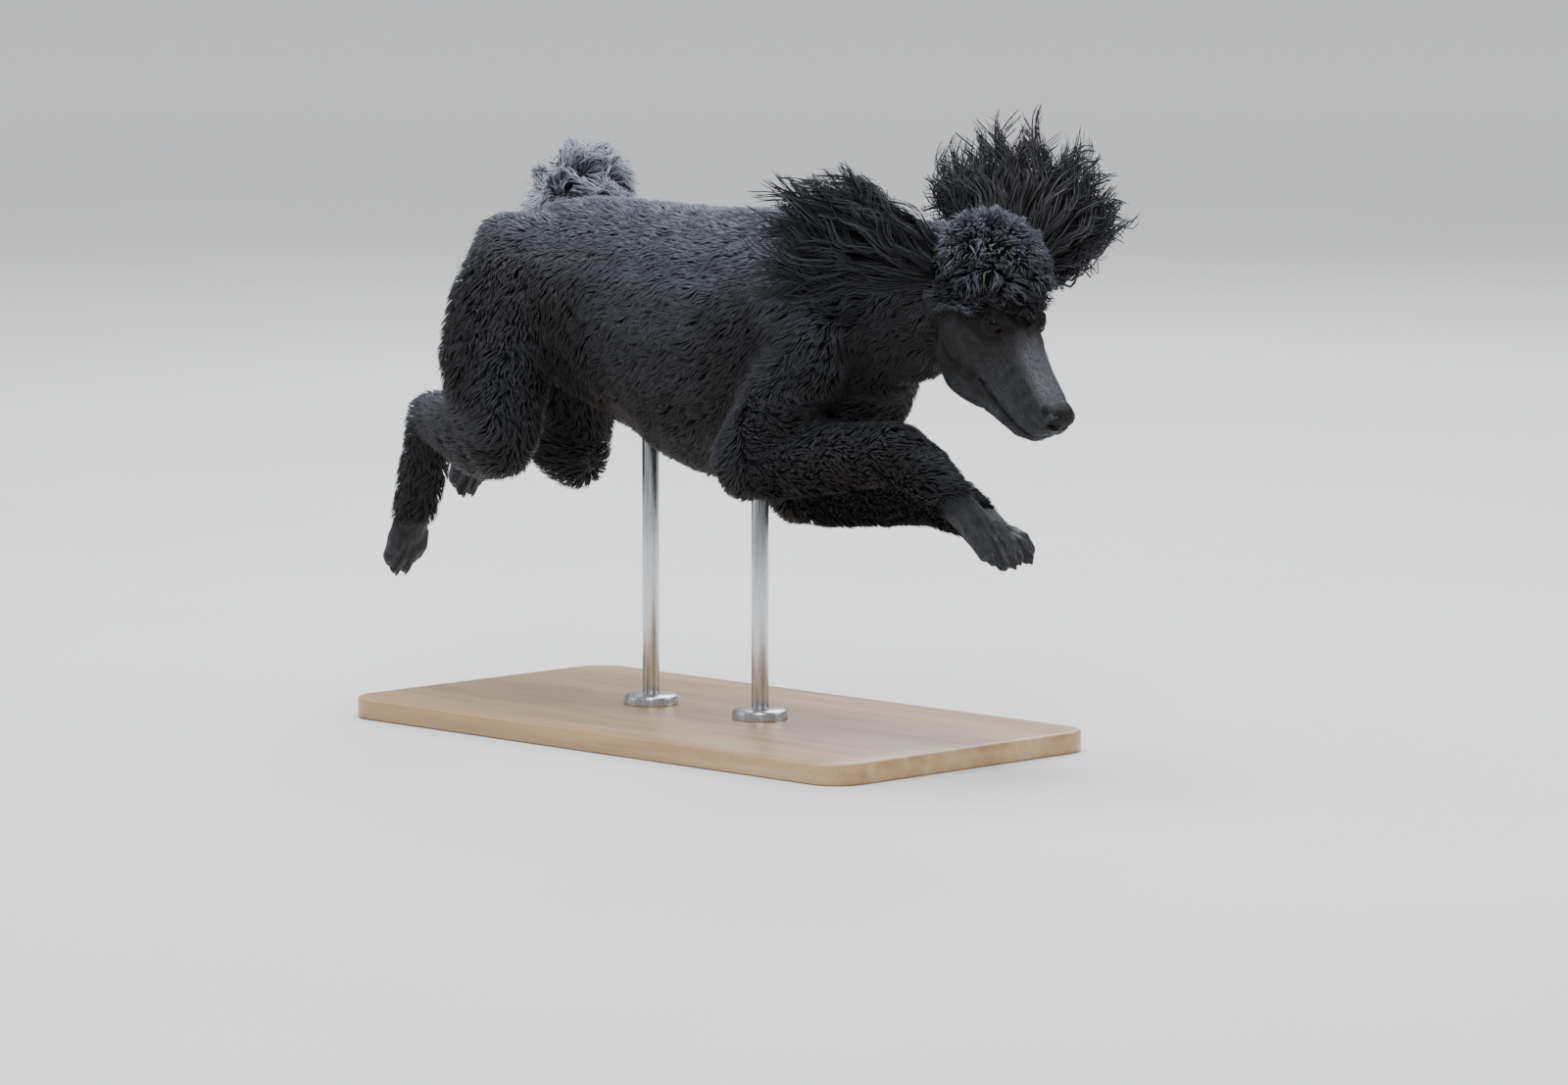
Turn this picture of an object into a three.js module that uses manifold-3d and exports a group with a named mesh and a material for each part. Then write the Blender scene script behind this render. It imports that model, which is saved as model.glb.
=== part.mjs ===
// A black standard poodle in a short sporting clip, caught in mid-leap, life size, on a plain
// display stand. Millimetres: +X is the way the dog leaps, +Y its left side, +Z up, and the
// origin is the middle of the stand's underside.
import * as THREE from "three";
import { mergeVertices } from "three/addons/utils/BufferGeometryUtils.js";
import Module from "manifold-3d";

const wasm = await Module();
wasm.setup();

// Driving dimensions. The dog stands 560 mm at the withers.
const GAP = 0.3; // between touching pieces
const CHEST_DEPTH = 258;
const BACK_Z = 498; // the level back, over the floor
const RIGHT = -1;
const LEFT = 1;

// The stand
const BASE = { length: 660, width: 340, thick: 20, corner: 34, bevel: 3 };
const ROD = { radius: 8, xFront: 62, xRear: -84, sides: 20 };
const COLLAR = { radius: 26, height: 9, bevel: 2.5 };

// The head's own frame: its origin lies between the eyes, and it is turned right and tipped down.
const HEAD_AT = new THREE.Vector3(408, -30, 404);
const HEAD_YAW = THREE.MathUtils.degToRad(-8);
const HEAD_PITCH = THREE.MathUtils.degToRad(45);
const EYE = { x: -2, y: 22.5, z: 8.5, radius: 10.5, across: 64, open: 27 };
const NOSE = { x: 100, z: -4, wide: 17, high: 12 };

// Legs in their leaping pose, by joint
const FORELEGS = {
  right: {
    side: RIGHT,
    blade: [112, -50, 440],
    shoulder: [212, -64, 372],
    elbow: [124, -84, 268],
    wrist: [296, -47, 290],
    knuckle: [358, -36, 238],
    toe: [414, -27, 189],
  },
  left: {
    side: LEFT,
    blade: [80, 48, 435],
    shoulder: [147, 62, 350],
    elbow: [34, 74, 228],
    wrist: [234, 60, 238],
    knuckle: [303, 50, 216],
    toe: [366, 42, 188],
  },
};
const HINDLEGS = {
  right: {
    side: RIGHT,
    hip: [-206, -46, 432],
    knee: [-186, -92, 268],
    hock: [-350, -36, 277],
    knuckle: [-380, -36, 180],
    toe: [-400, -35, 115],
  },
  left: {
    side: LEFT,
    hip: [-208, 46, 432],
    knee: [-262, 62, 246],
    hock: [-386, 58, 340],
    knuckle: [-398, 60, 246],
    toe: [-406, 60, 184],
  },
};

// Ears, flung back and up: the root of each, and how far its fringe reaches from there, as a fan
// of ends from one edge of the leather round to the other.
const EARS = {
  right: {
    root: [354, -50, 448],
    tiers: [
      { count: 9, rings: 4, from: 0.36, to: 1, lift: 0, wide: 15 },
      { count: 5, rings: 3, from: 0.28, to: 0.8, lift: 14, wide: 17 },
      { count: 5, rings: 3, from: 0.28, to: 0.8, lift: -14, wide: 17 },
    ],
    fan: [
      [-182, -50, -21],
      [-183, -55, 28],
      [-171, -55, 77],
      [-103, -40, 91],
      [-71, -25, 61],
    ],
  },
  left: {
    root: [371, 10, 448],
    tiers: [
      { count: 13, rings: 4, from: 0.38, to: 1, lift: 0, wide: 15 },
      { count: 6, rings: 3, from: 0.3, to: 0.8, lift: 14, wide: 19 },
      { count: 6, rings: 3, from: 0.3, to: 0.8, lift: -14, wide: 19 },
    ],
    fan: [
      [-141, 35, 53],
      [-130, 40, 109],
      [-84, 60, 129],
      [-34, 90, 128],
      [-9, 125, 101],
      [4, 145, 61],
      [3, 140, 26],
      [-9, 90, -2],
    ],
  },
};
const EAR_CORE = { reach: 0.46, thick: 18, lockThick: 3.4 };

// Tail and its pom, swung up and to the left
const TAIL = { root: [-236, 6, 462], end: [-276, 78, 488], radius: 12 };
const POM = { at: [-283, 98, 486], radius: [50, 52, 52], clumps: 23, core: 0.7 };
const TOPKNOT = { at: [-54, 0, 19], radius: [63, 51, 50], clumps: 44, core: 0.78 };
const CURL = { radius: 17, long: 19 };

// Colours of the coat, skin and stand
const COAT = 0x26262a;
const FACE = 0x333338;
const PAD = 0x141416;

const v3 = (p) => new THREE.Vector3(...p);
const mix = (a, b, t) => a + (b - a) * t;
const between = (a, b, t) => a.map((value, i) => mix(value, b[i], t));
const offset = (p, d) => p.map((value, i) => value + d[i]);

// A closed geometry as a solid that can be joined and cut.
function solidOf(geometry) {
  const bare = new THREE.BufferGeometry();
  bare.setAttribute("position", geometry.getAttribute("position"));
  if (geometry.index) bare.setIndex(geometry.index);
  const merged = mergeVertices(bare, 1e-3);
  return new wasm.Manifold(
    new wasm.Mesh({
      numProp: 3,
      vertProperties: merged.attributes.position.array,
      triVerts: new Uint32Array(merged.index.array),
    }),
  );
}

// Joins solids into one.
function join(solids) {
  return solids.reduce((all, one) => all.add(one));
}

// The largest closed body of a solid: loose scraps and sealed hollows go.
function largest(solid) {
  const bodies = solid.decompose();
  return bodies.reduce((best, one) => (one.volume() > best.volume() ? one : best));
}

// A solid as a geometry that three.js can show.
function geometryOf(solid) {
  const { numProp, numVert, vertProperties, triVerts } = solid.getMesh();
  const points = new Float32Array(numVert * 3);
  for (let i = 0; i < numVert; i += 1) {
    points.set(vertProperties.subarray(i * numProp, i * numProp + 3), i * 3);
  }
  const geometry = new THREE.BufferGeometry();
  geometry.setAttribute("position", new THREE.BufferAttribute(points, 3));
  geometry.setIndex(new THREE.BufferAttribute(triVerts, 1));
  geometry.computeVertexNormals();
  return geometry;
}

// Catmull-Rom interpolation of one value through four.
function spline(a, b, c, d, t) {
  const t2 = t * t;
  const t3 = t2 * t;
  return 0.5 * (2 * b + (c - a) * t + (2 * a - 5 * b + 4 * c - d) * t2 + (3 * b - a - 3 * c + d) * t3);
}

// Sections with more between them, so that the form is smooth from end to end.
function refined(sections, steps) {
  const last = sections.length - 1;
  const pick = (i) => sections[Math.min(last, Math.max(0, i))];
  const found = [];
  for (let i = 0; i < last; i += 1) {
    for (let k = 0; k < steps; k += 1) {
      const around = [i - 1, i, i + 1, i + 2].map(pick);
      found.push(around[0].map((_, j) => spline(...around.map((s) => s[j]), k / steps)));
    }
  }
  found.push(sections[last]);
  return found;
}

// A closed solid from points and triangles, whichever way round these turn.
function closed(points, index) {
  const geometry = new THREE.BufferGeometry().setFromPoints(points);
  geometry.setIndex(index);
  const made = solidOf(geometry);
  if (made.volume() > 0) return made;
  geometry.setIndex(index.toReversed());
  return solidOf(geometry);
}

// A closed skin over sections set along a line. A section is [x, y, z, w, up, down], its centre,
// half width, and half heights over and under the centre. `square` is 2 for an ellipse and more
// for a boxier form, `ends` are the depths of the two rounded ends, and `domes` the rings in each.
function loft(sections, options = {}) {
  const { sides = 10, steps = 1, grow = 0, square = 2, ends = [10, 10], upright = false, domes = 1 } = options;
  const across = v3(options.across ?? [0, 1, 0]);
  const rows = refined(sections, steps);
  const points = [];
  const index = [];
  const centre = (i) => v3(rows[Math.min(rows.length - 1, Math.max(0, i))].slice(0, 3));
  const frames = rows.map((_, i) => {
    const along = upright
      ? new THREE.Vector3(Math.sign(rows[rows.length - 1][0] - rows[0][0]), 0, 0)
      : centre(i + 1).sub(centre(i - 1)).normalize();
    const wide = across.clone().addScaledVector(along, -across.dot(along)).normalize();
    return { along, wide, high: along.clone().cross(wide) };
  });
  const ring = (row, frame, share, shift) => {
    const [x, y, z, w, up, down] = row;
    for (let k = 0; k < sides; k += 1) {
      const angle = (2 * Math.PI * k) / sides;
      const c = Math.cos(angle);
      const s = Math.sin(angle);
      const side = Math.sign(c) * Math.abs(c) ** (2 / square) * (w + grow) * share;
      const height = Math.sign(s) * Math.abs(s) ** (2 / square) * ((s > 0 ? up : down) + grow) * share;
      points.push(
        new THREE.Vector3(x, y, z)
          .addScaledVector(frame.wide, side)
          .addScaledVector(frame.high, height)
          .addScaledVector(frame.along, shift),
      );
    }
  };
  const dome = (row, frame, depth, sign, order) => {
    for (const k of order) {
      const angle = (k / (domes + 1)) * (Math.PI / 2);
      ring(row, frame, Math.cos(angle), sign * Math.sin(angle) * (depth + grow));
    }
  };
  const first = rows[0];
  const final = rows[rows.length - 1];
  const outward = Array.from({ length: domes }, (_, i) => i + 1);
  dome(first, frames[0], ends[0], -1, outward.toReversed());
  rows.forEach((row, i) => ring(row, frames[i], 1, 0));
  dome(final, frames[rows.length - 1], ends[1], 1, outward);
  const rings = points.length / sides;
  for (let i = 0; i + 1 < rings; i += 1) {
    for (let k = 0; k < sides; k += 1) {
      const a = i * sides + k;
      const b = i * sides + ((k + 1) % sides);
      index.push(a, b, b + sides, a, b + sides, a + sides);
    }
  }
  const poleOf = (row, frame, shift) => {
    points.push(v3(row.slice(0, 3)).addScaledVector(frame.along, shift));
    return points.length - 1;
  };
  const startPole = poleOf(first, frames[0], -(ends[0] + grow));
  const endPole = poleOf(final, frames[rows.length - 1], ends[1] + grow);
  const lastRing = (rings - 1) * sides;
  for (let k = 0; k < sides; k += 1) {
    const next = (k + 1) % sides;
    index.push(startPole, next, k);
    index.push(endPole, lastRing + k, lastRing + next);
  }
  return closed(points, index);
}

// A ball stretched to three radii.
function ball(at, radii, { grow = 0, across = 12, down = 8 } = {}) {
  const geometry = new THREE.SphereGeometry(1, across, down);
  geometry.scale(...radii.map((r) => r + grow));
  geometry.translate(...at);
  return solidOf(geometry);
}

// Seeded random numbers from 0 to 1, the same on every run.
function seeded(seed) {
  let state = seed;
  return () => {
    state = (state * 1664525 + 1013904223) % 4294967296;
    return state / 4294967296;
  };
}

// A flat, tapered lock of hair along a bent line from its sunk root to its tip. `face` is square
// to its flat sides, and it is widest a third of the way out.
function lock(root, bend, tip, face, wide, thick, rings) {
  const curve = new THREE.QuadraticBezierCurve3(v3(root), v3(bend), v3(tip));
  const points = [];
  const index = [];
  for (let i = 0; i < rings; i += 1) {
    const t = (i / rings) * 1.06;
    const along = curve.getTangent(Math.min(1, t)).normalize();
    const flat = face.clone().addScaledVector(along, -face.dot(along)).normalize();
    const side = along.clone().cross(flat);
    const half = wide * Math.sin(Math.PI * (0.22 + 0.72 * t ** 0.85));
    const depth = thick * (1 - 0.62 * t);
    const at = curve.getPoint(Math.min(1, t));
    for (const [a, b] of [[1, 0], [0, 1], [-1, 0], [0, -1]]) {
      points.push(at.clone().addScaledVector(side, a * half).addScaledVector(flat, b * depth));
    }
  }
  for (let i = 0; i + 1 < rings; i += 1) {
    for (let k = 0; k < 4; k += 1) {
      const a = i * 4 + k;
      const b = i * 4 + ((k + 1) % 4);
      index.push(a, b, b + 4, a, b + 4, a + 4);
    }
  }
  const end = points.push(v3(tip)) - 1;
  const lastRing = (rings - 1) * 4;
  index.push(0, 2, 1, 0, 3, 2);
  for (let k = 0; k < 4; k += 1) index.push(lastRing + k, lastRing + ((k + 1) % 4), end);
  return closed(points, index);
}

// A rounded clump of curls: a low ball drawn out along the way its hair stands.
function clump(at, way, radius, long) {
  const geometry = new THREE.SphereGeometry(radius, 6, 3);
  geometry.scale(1, long / radius, 1);
  const turn = new THREE.Quaternion().setFromUnitVectors(new THREE.Vector3(0, 1, 0), way);
  geometry.applyQuaternion(turn);
  geometry.translate(at.x, at.y, at.z);
  return solidOf(geometry);
}

// Directions spread evenly over a sphere.
function spread(count) {
  const golden = Math.PI * (3 - Math.sqrt(5));
  return Array.from({ length: count }, (_, i) => {
    const y = 1 - (2 * (i + 0.5)) / count;
    const r = Math.sqrt(1 - y * y);
    return new THREE.Vector3(Math.cos(golden * i) * r, y, Math.sin(golden * i) * r);
  });
}

// The part of space on one side of a plane, within a block that is large beside the dog.
function halfSpace(point, normal, shift = 0) {
  const size = 2400;
  const geometry = new THREE.BoxGeometry(size, size, size);
  geometry.translate(0, 0, size / 2);
  const way = v3(normal).normalize();
  geometry.applyQuaternion(new THREE.Quaternion().setFromUnitVectors(new THREE.Vector3(0, 0, 1), way));
  const corner = v3(point).addScaledVector(way, shift);
  geometry.translate(corner.x, corner.y, corner.z);
  return solidOf(geometry);
}

// A block between two corners.
function block(low, high, grow = 0) {
  const size = high.map((value, i) => value - low[i] + 2 * grow);
  const geometry = new THREE.BoxGeometry(...size);
  geometry.translate(...between(low, high, 0.5));
  return solidOf(geometry);
}

// Trunk: rump, loin, chest and forechest, by height of back and belly at each station.
function trunk(grow = 0) {
  const belly = BACK_Z - CHEST_DEPTH;
  const stations = [
    [-268, BACK_Z - 62, belly + 122, 44],
    [-248, BACK_Z - 26, belly + 96, 64],
    [-215, BACK_Z - 8, belly + 80, 77],
    [-170, BACK_Z, belly + 68, 82],
    [-125, BACK_Z + 1, belly + 54, 78],
    [-85, BACK_Z, belly + 36, 78],
    [-40, BACK_Z - 1, belly + 13, 87],
    [10, BACK_Z - 2, belly, 95],
    [60, BACK_Z, belly + 1, 97],
    [110, BACK_Z + 4, belly + 10, 92],
    [158, BACK_Z - 4, belly + 24, 82],
    [200, BACK_Z - 44, belly + 42, 66],
    [228, BACK_Z - 88, belly + 58, 44],
  ];
  const sections = stations.map(([x, top, low, wide]) => {
    const middle = mix(low, top, 0.54);
    return [x, 0, middle, wide, top - middle, middle - low];
  });
  return loft(sections, { sides: 18, domes: 2, grow, square: 2.15, ends: [16, 16], upright: true });
}

// Neck: from the withers and forechest to the back of the skull.
function neck(grow = 0) {
  const sections = [
    [80, 0, 398, 78, 88, 98],
    [148, 0, 406, 74, 88, 96],
    [210, -3, 414, 64, 82, 84],
    [268, -7, 424, 58, 75, 78],
    [322, -11, 436, 53, 63, 68],
  ];
  return loft(sections, { sides: 14, grow, ends: [30, 26] });
}

// Shoulder blade and upper arm.
function upperArm({ side, blade, shoulder, elbow }, grow = 0) {
  const out = (d) => side * d;
  const bladeForm = [
    [...blade, 34, 40, 40],
    [...between(blade, shoulder, 0.55), 36, 46, 46],
    [...offset(shoulder, [-6, 0, 0]), 33, 38, 38],
  ];
  const armForm = [
    [...offset(shoulder, [-14, 0, 6]), 33, 42, 46],
    [...offset(between(shoulder, elbow, 0.5), [-2, out(2), 0]), 33, 40, 42],
    [...elbow, 31, 34, 34],
  ];
  return join([loft(bladeForm, { grow, ends: [26, 20] }), loft(armForm, { grow, ends: [22, 24] })]);
}

// Forearm and the furred part of the pastern.
function forearm({ elbow, wrist, knuckle }, grow = 0) {
  const arm = [
    [...elbow, 32, 36, 34],
    [...between(elbow, wrist, 0.3), 31, 35, 35],
    [...between(elbow, wrist, 0.65), 28, 30, 32],
    [...wrist, 26, 26, 28],
  ];
  const pastern = [
    [...between(elbow, wrist, 0.93), 25, 26, 28],
    [...between(wrist, knuckle, 0.3), 25, 25, 27],
    [...between(wrist, knuckle, 0.72), 22, 20, 21],
  ];
  return join([loft(arm, { grow, ends: [22, 14] }), loft(pastern, { grow, ends: [12, 8] })]);
}

// Thigh: a broad flat muscle from the hip down to the knee.
function thigh({ side, hip, knee }, grow = 0) {
  const out = (d) => side * d;
  const sections = [
    [...offset(hip, [0, 0, 30]), 34, 56, 60],
    [...offset(between(hip, knee, 0.2), [-6, out(4), 0]), 41, 60, 78],
    [...offset(between(hip, knee, 0.5), [-12, out(4), 0]), 40, 58, 80],
    [...offset(between(hip, knee, 0.8), [-8, out(2), 0]), 37, 46, 70],
    [...knee, 33, 34, 42],
  ];
  return loft(sections, { sides: 12, grow, ends: [22, 24] });
}

// Shank: from the knee back to the hock, with the calf on its upper side.
function shank({ knee, hock }, grow = 0) {
  const sections = [
    [...knee, 33, 35, 36],
    [...between(knee, hock, 0.3), 33, 35, 36],
    [...between(knee, hock, 0.65), 28, 29, 30],
    [...hock, 22, 23, 24],
  ];
  return loft(sections, { grow, ends: [24, 20] });
}

// Rear pastern, from the hock to the toes' root.
function rearPastern({ hock, knuckle }, grow = 0) {
  const sections = [
    [...offset(hock, [2, 0, 8]), 21, 22, 24],
    [...between(hock, knuckle, 0.35), 21, 21, 23],
    [...between(hock, knuckle, 0.7), 20, 20, 21],
    [...knuckle, 19, 18, 18],
  ];
  return loft(sections, { grow, ends: [14, 8] });
}

// A paw in its own frame: toes along +X, the back of the foot along +Z, and its size for a
// foot that is `long` from knuckle to toe tip.
const TOES = [
  { y: -14, reach: 0.74, splay: -0.06 },
  { y: -5.5, reach: 0.94, splay: -0.02 },
  { y: 5.5, reach: 0.94, splay: 0.02 },
  { y: 14, reach: 0.74, splay: 0.06 },
];
const CLAW = { long: 10, radius: 3 };

function paw(knuckle, toe, grow = 0) {
  const long = v3(toe).distanceTo(v3(knuckle));
  const palm = [
    [-long * 0.45, 0, 0, 17, 15, 16],
    [0, 0, 0, 18, 15, 16],
    [long * 0.34, 0, -1, 19, 13, 14],
    [long * 0.56, 0, -4, 16, 9, 11],
  ];
  const forms = [loft(palm, { grow, ends: [8, 8] })];
  for (const { y, reach, splay } of TOES) {
    const tip = long * reach;
    const across = (share) => y + splay * tip * share;
    const sections = [
      [tip * 0.36, across(0), 1, 8.5, 9, 11],
      [tip * 0.66, across(0.5), 3, 8.5, 8.5, 12],
      [tip * 0.9, across(0.9), -2, 7.5, 7, 8],
    ];
    forms.push(loft(sections, { sides: 6, grow, ends: [5, 5] }));
    const claw = [
      [tip * 0.92, across(0.95), -3, CLAW.radius, CLAW.radius, CLAW.radius],
      [tip * 0.92 + CLAW.long * 0.6, across(1), -5, CLAW.radius * 0.7, 2.4, 2.4],
    ];
    forms.push(loft(claw, { sides: 4, domes: 0, grow, ends: [2, CLAW.long * 0.4] }));
  }
  const along = v3(toe).sub(v3(knuckle)).normalize();
  const across = new THREE.Vector3(0, 1, 0).addScaledVector(along, -along.y).normalize();
  const frame = new THREE.Matrix4().makeBasis(along, across, along.clone().cross(across));
  frame.setPosition(...knuckle);
  return join(forms).transform(frame.elements);
}

// The head's frame, from its own millimetres to the dog's.
const headFrame = new THREE.Matrix4()
  .makeTranslation(HEAD_AT.x, HEAD_AT.y, HEAD_AT.z)
  .multiply(new THREE.Matrix4().makeRotationZ(HEAD_YAW))
  .multiply(new THREE.Matrix4().makeRotationY(HEAD_PITCH));
const onHead = (solid) => solid.transform(headFrame.elements);

// Skull and muzzle in the head's frame: [x, middle height, half width, up, down].
function skull(grow = 0) {
  const stations = [
    [-96, -8, 32, 26, 30],
    [-74, -8, 42, 40, 40],
    [-42, -7, 46, 42, 58],
    [-14, -6, 42, 36, 58],
    [8, -8, 33, 28, 50],
    [26, -12, 27, 27, 36],
    [54, -17, 23.5, 27, 31],
    [80, -18, 22, 26.5, 25],
    [96, -18, 20, 23, 15],
  ];
  const sections = stations.map(([x, z, w, up, down]) => [x, 0, z, w, up, down]);
  return loft(sections, { sides: 18, domes: 2, grow, square: 2.2, ends: [16, 7], upright: true });
}

// Lower jaw, narrower than the lips that hang over it, so that a step marks the mouth.
function jaw(grow = 0) {
  const stations = [
    [-52, -44, 32, 20, 28],
    [-28, -50, 34, 20, 28],
    [0, -52, 30, 16, 24],
    [26, -52, 25, 13, 17],
    [54, -48, 20, 12, 12],
    [80, -42, 16, 12, 10],
    [90, -38, 13, 10, 6],
  ];
  const sections = stations.map(([x, z, w, up, down]) => [x, 0, z, w, up, down]);
  return loft(sections, { sides: 12, grow, square: 2.4, ends: [14, 6], upright: true });
}

// The two lids of one eye: rolls of skin that follow its ball from corner to corner, over and
// under the way that it looks.
function lids(side, grow = 0) {
  const centre = new THREE.Vector3(EYE.x, side * EYE.y, EYE.z);
  const look = new THREE.Vector3(0.62, side * 0.72, 0.3).normalize();
  const corner = new THREE.Vector3(0.74, -side * 0.62, -0.26);
  corner.addScaledVector(look, -corner.dot(look)).normalize();
  const over = new THREE.Vector3(0, 0, 1).addScaledVector(look, -look.z);
  over.addScaledVector(corner, -over.dot(corner)).normalize();
  const roll = (rise, thick) => {
    const sections = [-1, -0.5, 0, 0.5, 1].map((share) => {
      const turn = THREE.MathUtils.degToRad(share * EYE.across);
      const lift = THREE.MathUtils.degToRad(rise * (1 - share * share));
      const out = look.clone().multiplyScalar(Math.cos(turn) * Math.cos(lift));
      out.addScaledVector(corner, Math.sin(turn)).addScaledVector(over, Math.cos(turn) * Math.sin(lift));
      return [...centre.clone().addScaledVector(out, EYE.radius + 0.6).toArray(), thick, thick, thick];
    });
    return loft(sections, { sides: 6, grow, ends: [2, 2], across: look.toArray() });
  };
  return join([roll(EYE.open, 2.8), roll(-EYE.open, 2.2)]);
}

const eye = (side, grow = 0) => {
  const radii = [EYE.radius, EYE.radius, EYE.radius];
  return ball([EYE.x, side * EYE.y, EYE.z], radii, { grow, across: 10, down: 7 });
};

// The bony rim that stands round one eye.
const orbit = (side, grow = 0) =>
  ball([EYE.x - 3, side * (EYE.y - 3.5), EYE.z - 1.5], [14, 14, 14], { grow, across: 10, down: 7 });

// The whole head without hair, before the eyes and nose are let in.
function headForm(grow = 0) {
  const sides = [LEFT, RIGHT].flatMap((side) => [orbit(side, grow), lids(side, grow)]);
  return join([skull(grow), jaw(grow), ...sides]);
}

const eyes = (grow = 0) => join([eye(LEFT, grow), eye(RIGHT, grow)]);

// Nose leather with its two nostrils.
function noseForm(grow = 0, nostrils = true) {
  const pad = [
    [NOSE.x - 8, 0, NOSE.z - 2, NOSE.wide - 1, NOSE.high - 1, NOSE.high - 1],
    [NOSE.x, 0, NOSE.z, NOSE.wide, NOSE.high - 1, NOSE.high],
    [NOSE.x + 6, 0, NOSE.z, NOSE.wide - 3, NOSE.high - 3, NOSE.high - 2],
  ];
  const whole = loft(pad, { sides: 12, grow, square: 2.4, ends: [3, 4], upright: true });
  if (!nostrils) return whole;
  const holes = [LEFT, RIGHT].map((side) =>
    ball([NOSE.x + 10, side * 7.6, NOSE.z - 0.5], [7, 3.6, 3.2], { across: 8, down: 6 }),
  );
  return holes.reduce((rest, hole) => rest.subtract(hole), whole);
}

// Where the fringe of an ear ends, at a share of the way round its fan.
function fanEnd({ root, fan }, share) {
  const place = share * (fan.length - 1);
  const i = Math.min(fan.length - 2, Math.floor(place));
  const near = [i - 1, i, i + 1, i + 2].map((k) => fan[Math.min(fan.length - 1, Math.max(0, k))]);
  return [0, 1, 2].map((k) => root[k] + spline(...near.map((end) => end[k]), place - i));
}

// Square to the face of an ear, at a share of the way round its fan.
function fanFace(ear, share) {
  const reach = (at) => v3(fanEnd(ear, Math.min(1, Math.max(0, at)))).sub(v3(ear.root));
  return reach(share - 0.1).cross(reach(share + 0.1)).normalize();
}

// An ear's plain outline: a thick fan from its root out to a share of its reach.
function earForm(ear, reach, thick, grow = 0) {
  const { root } = ear;
  const cuts = 12;
  const half = thick / 2 + grow;
  const points = [];
  const add = (at, share, lift) => points.push(v3(at).addScaledVector(fanFace(ear, share), lift * half));
  const rim = Array.from({ length: cuts + 1 }, (_, i) => between(root, fanEnd(ear, i / cuts), reach));
  for (const lift of [1, -1]) {
    add(root, 0.5, 0.8 * lift);
    rim.forEach((end, i) => add(between(root, end, 0.6), i / cuts, lift));
    rim.forEach((end, i) => add(end, i / cuts, 0.45 * lift));
  }
  const perFace = 1 + 2 * (cuts + 1);
  const index = [];
  const quad = (a, b, c, d) => index.push(a, b, c, a, c, d);
  for (let i = 0; i < cuts; i += 1) {
    const inner = 1 + i;
    const outer = 2 + cuts + i;
    index.push(0, inner, inner + 1);
    quad(inner, outer, outer + 1, inner + 1);
    index.push(perFace, perFace + inner + 1, perFace + inner);
    quad(perFace + inner + 1, perFace + outer + 1, perFace + outer, perFace + inner);
    quad(outer, perFace + outer, perFace + outer + 1, outer + 1);
  }
  const firstOuter = 2 + cuts;
  const last = 1 + cuts;
  const lastOuter = firstOuter + cuts;
  quad(0, perFace, perFace + 1, 1);
  quad(1, perFace + 1, perFace + firstOuter, firstOuter);
  quad(perFace, 0, last, perFace + last);
  quad(perFace + last, last, lastOuter, perFace + lastOuter);
  return closed(points, index);
}

// An ear in full: a core over the leather that reaches less than half way to the tips, and tiers
// of locks on and round it, longest and outermost first.
function earWithLocks(ear, seed) {
  const { root, tiers } = ear;
  const random = seeded(seed);
  const locks = [];
  for (const { count, rings, from, to, lift, wide } of tiers) {
    for (let i = 0; i < count; i += 1) {
      const share = Math.min(1, Math.max(0, (i + 0.5 + 0.5 * (random() - 0.5)) / count));
      const reach = to * (0.9 + 0.14 * random());
      const face = fanFace(ear, share);
      const out = (at, up) => {
        const onFan = v3(between(root, fanEnd(ear, share), at));
        return onFan.addScaledVector(face, up).toArray();
      };
      const spine = v3(way(root, fanEnd(ear, share))).normalize();
      const turn = face.clone().applyAxisAngle(spine, 0.9 * (random() - 0.5));
      const middle = mix(from, reach, 0.55);
      const stagger = i % 2 === 0 ? 5 : -5;
      const bow = lift + stagger + 8 * (random() - 0.5);
      const tipLift = 0.7 * lift - 1.5 * stagger + 14 * (random() - 0.5);
      const half = wide * (0.85 + 0.3 * random());
      const ends = [out(from, lift * 0.35), out(middle, bow), out(reach, tipLift)];
      locks.push(lock(...ends, turn, half, EAR_CORE.lockThick, rings));
    }
  }
  return largest(join([earForm(ear, EAR_CORE.reach, EAR_CORE.thick), ...locks]));
}

const tailForm = (grow = 0) => {
  const r = TAIL.radius;
  return loft(
    [
      [...TAIL.root, r + 4, r + 4, r + 4],
      [...between(TAIL.root, TAIL.end, 0.5), r, r, r],
      [...TAIL.end, r, r, r],
    ],
    { sides: 10, grow, ends: [8, 8], across: [1, 0, 0] },
  );
};

// A ball of hair in full: a core that reaches less than half way to the tips, and rounded clumps
// set close all over it, wherever `grows` says that hair grows.
function clumpedBall({ at, radius, clumps, core }, seed, grows = () => true) {
  const random = seeded(seed);
  const forms = [ball(at, radius.map((r) => r * core), { across: 10, down: 7 })];
  for (const out of spread(clumps).filter(grows)) {
    const size = 0.88 + 0.24 * random();
    const reach = radius.map((r) => r - CURL.long * size);
    const centre = v3(at).add(out.clone().multiply(v3(reach)));
    forms.push(clump(centre, out, CURL.radius * size, CURL.long * size));
  }
  return largest(join(forms));
}

// The topknot covers the skull down to the brow in front, and lower at the sides and back.
const onSkull = (out) => out.z > -0.42 - 0.25 * Math.max(0, -out.x) + 0.5 * Math.max(0, out.x);

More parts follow.
